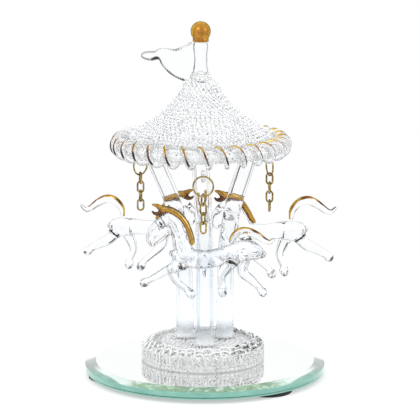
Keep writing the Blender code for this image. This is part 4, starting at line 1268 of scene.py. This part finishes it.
def makeHorseBody(number, horse, stand):
    shape = horse["shape"]
    legs, creases = legStrands(shape, horse["side"])
    head, eyes = headStrands(shape)
    breast = Vector((shape["spine"][-2][0], 0, shape["spine"][-2][1]))
    chest = ([breast + Vector(step) for step, _ in horseBuild["chest"]],
             [radius for _, radius in horseBuild["chest"]], False)
    strands = [limbStrand(shape[part], 0) for part in ("spine", "neck", "head")] + legs + head + [chest]
    bm = fusedBmesh(bmeshOfRods(strands, 5), horseBuild["voxel"], horseBuild["smoothing"])
    shares = darkShares(bm, number, creases, eyes)
    bmesh.ops.transform(bm, matrix=stand, verts=bm.verts)
    body = makePiece(f"horse_{number}_glass", bm, horseGlass, "carousel", [f"horse_{number}_body"])
    markPoints(body, "paintedDark", shares)


def makeMane(number, horse, stand):
    # a flattened ribbon of three gilt strands, and a forked forelock
    shape = horse["shape"]
    strands = []
    for offset, narrow in goldLines["maneStrands"]:
        points, radii, _ = limbStrand(shape["mane"], offset, 6)
        strands.append((points, [radius * narrow for radius in radii], False))
    strands += [limbStrand(shape["forelock"], 0.0), limbStrand(shape["forelockTine"], 0.0)]
    bm = fusedBmesh(bmeshOfRods(strands, 4), horseBuild["goldVoxel"], horseBuild["goldSmoothing"])
    path = [Vector((forward, 0, up)) for forward, up, _ in smoothLine(shape["mane"], 6)]
    # painted shading across the ribbon, lighter to its upper side, and darker towards the front of the
    # forelock
    tones = []
    for vertex, (up, _) in zip(bm.verts, sidesOfPath(bm, path)):
        ahead = vertex.co.x / mm - shape["forelock"][0][0] - goldLines["foreheadFrom"]
        tones.append(clamped(0.5 + 0.5 * up - 0.16 * max(ahead, 0)))
    bmesh.ops.transform(bm, matrix=stand, verts=bm.verts)
    mane = makePiece(f"horse_{number}_mane_gold", bm, maneGold, "carousel", [f"horse_{number}_mane"])
    markPoints(mane, "shade", tones)


def makeTail(number, horse, stand):
    # a clear rod, flattened from side to side, with a line of gold along its upper edge
    line = smoothLine(horse["shape"]["tail"], 6)
    strands = []
    for lift, narrow in goldLines["tailStrands"]:
        points = []
        for (forward, up, radius), before, after in zip(line, [line[0], *line], [*line[1:], line[-1]]):
            along = Vector((after[0] - before[0], after[1] - before[1])).normalized()
            points.append(Vector((forward - along.y * lift * radius, 0, up + along.x * lift * radius)))
        strands.append((*roundEnds(points, [radius * narrow for _, _, radius in line]), False))
    bm = fusedBmesh(bmeshOfRods(strands, 4), horseBuild["goldVoxel"], horseBuild["goldSmoothing"])
    sides = sidesOfPath(bm, [Vector((forward, 0, up)) for forward, up, _ in line])
    bmesh.ops.transform(bm, matrix=stand, verts=bm.verts)
    tail = makePiece(f"horse_{number}_tail_rod", bm, gildedGlass, "carousel", [f"horse_{number}_tail"])
    golds, tones = [], []
    for vertex, (up, share) in zip(tail.data.vertices, sides):
        wander = mathNoise.noise(vertex.co / mm * 0.3)
        if horse.get("tipUnder") and share > goldLines["underFrom"]:
            up = -up
        edge = up - goldLines["tailFrom"] - 0.15 * share + 0.15 * wander
        golds.append(clamped(edge / goldLines["tailSoft"]))
        # painted shade: the gold is browner on its lower side, and also darker towards the tip and in noise
        # patches
        tones.append(clamped(0.15 + 0.45 * share + 0.5 * wander + (1 - up) * 0.5))
    markPoints(tail, "gilding", golds)
    markPoints(tail, "shade", tones)


def makeEyes(number, horse, stand):
    # two small dark beads
    bm = bmesh.new()
    for spot in headStrands(horse["shape"])[1]:
        made = bmesh.ops.create_icosphere(bm, subdivisions=3, radius=headBuild["eyeRadius"] * mm)
        bmesh.ops.translate(bm, verts=made["verts"], vec=spot * mm)
    bmesh.ops.transform(bm, matrix=stand, verts=bm.verts)
    makePiece(f"horse_{number}_eyes", bm, beadBlack, "carousel", None)


for number, horse in enumerate(horses, 1):
    turn = Matrix.Rotation(math.radians(horse["heading"]), 4, "Z")
    stand = Matrix.Translation(Vector(horse["middle"]) * mm) @ turn @ Matrix.Scale(horse["size"], 4)
    for makePart in (makeHorseBody, makeMane, makeTail, makeEyes):
        makePart(number, horse, stand)
    print(f"horse {number} done")
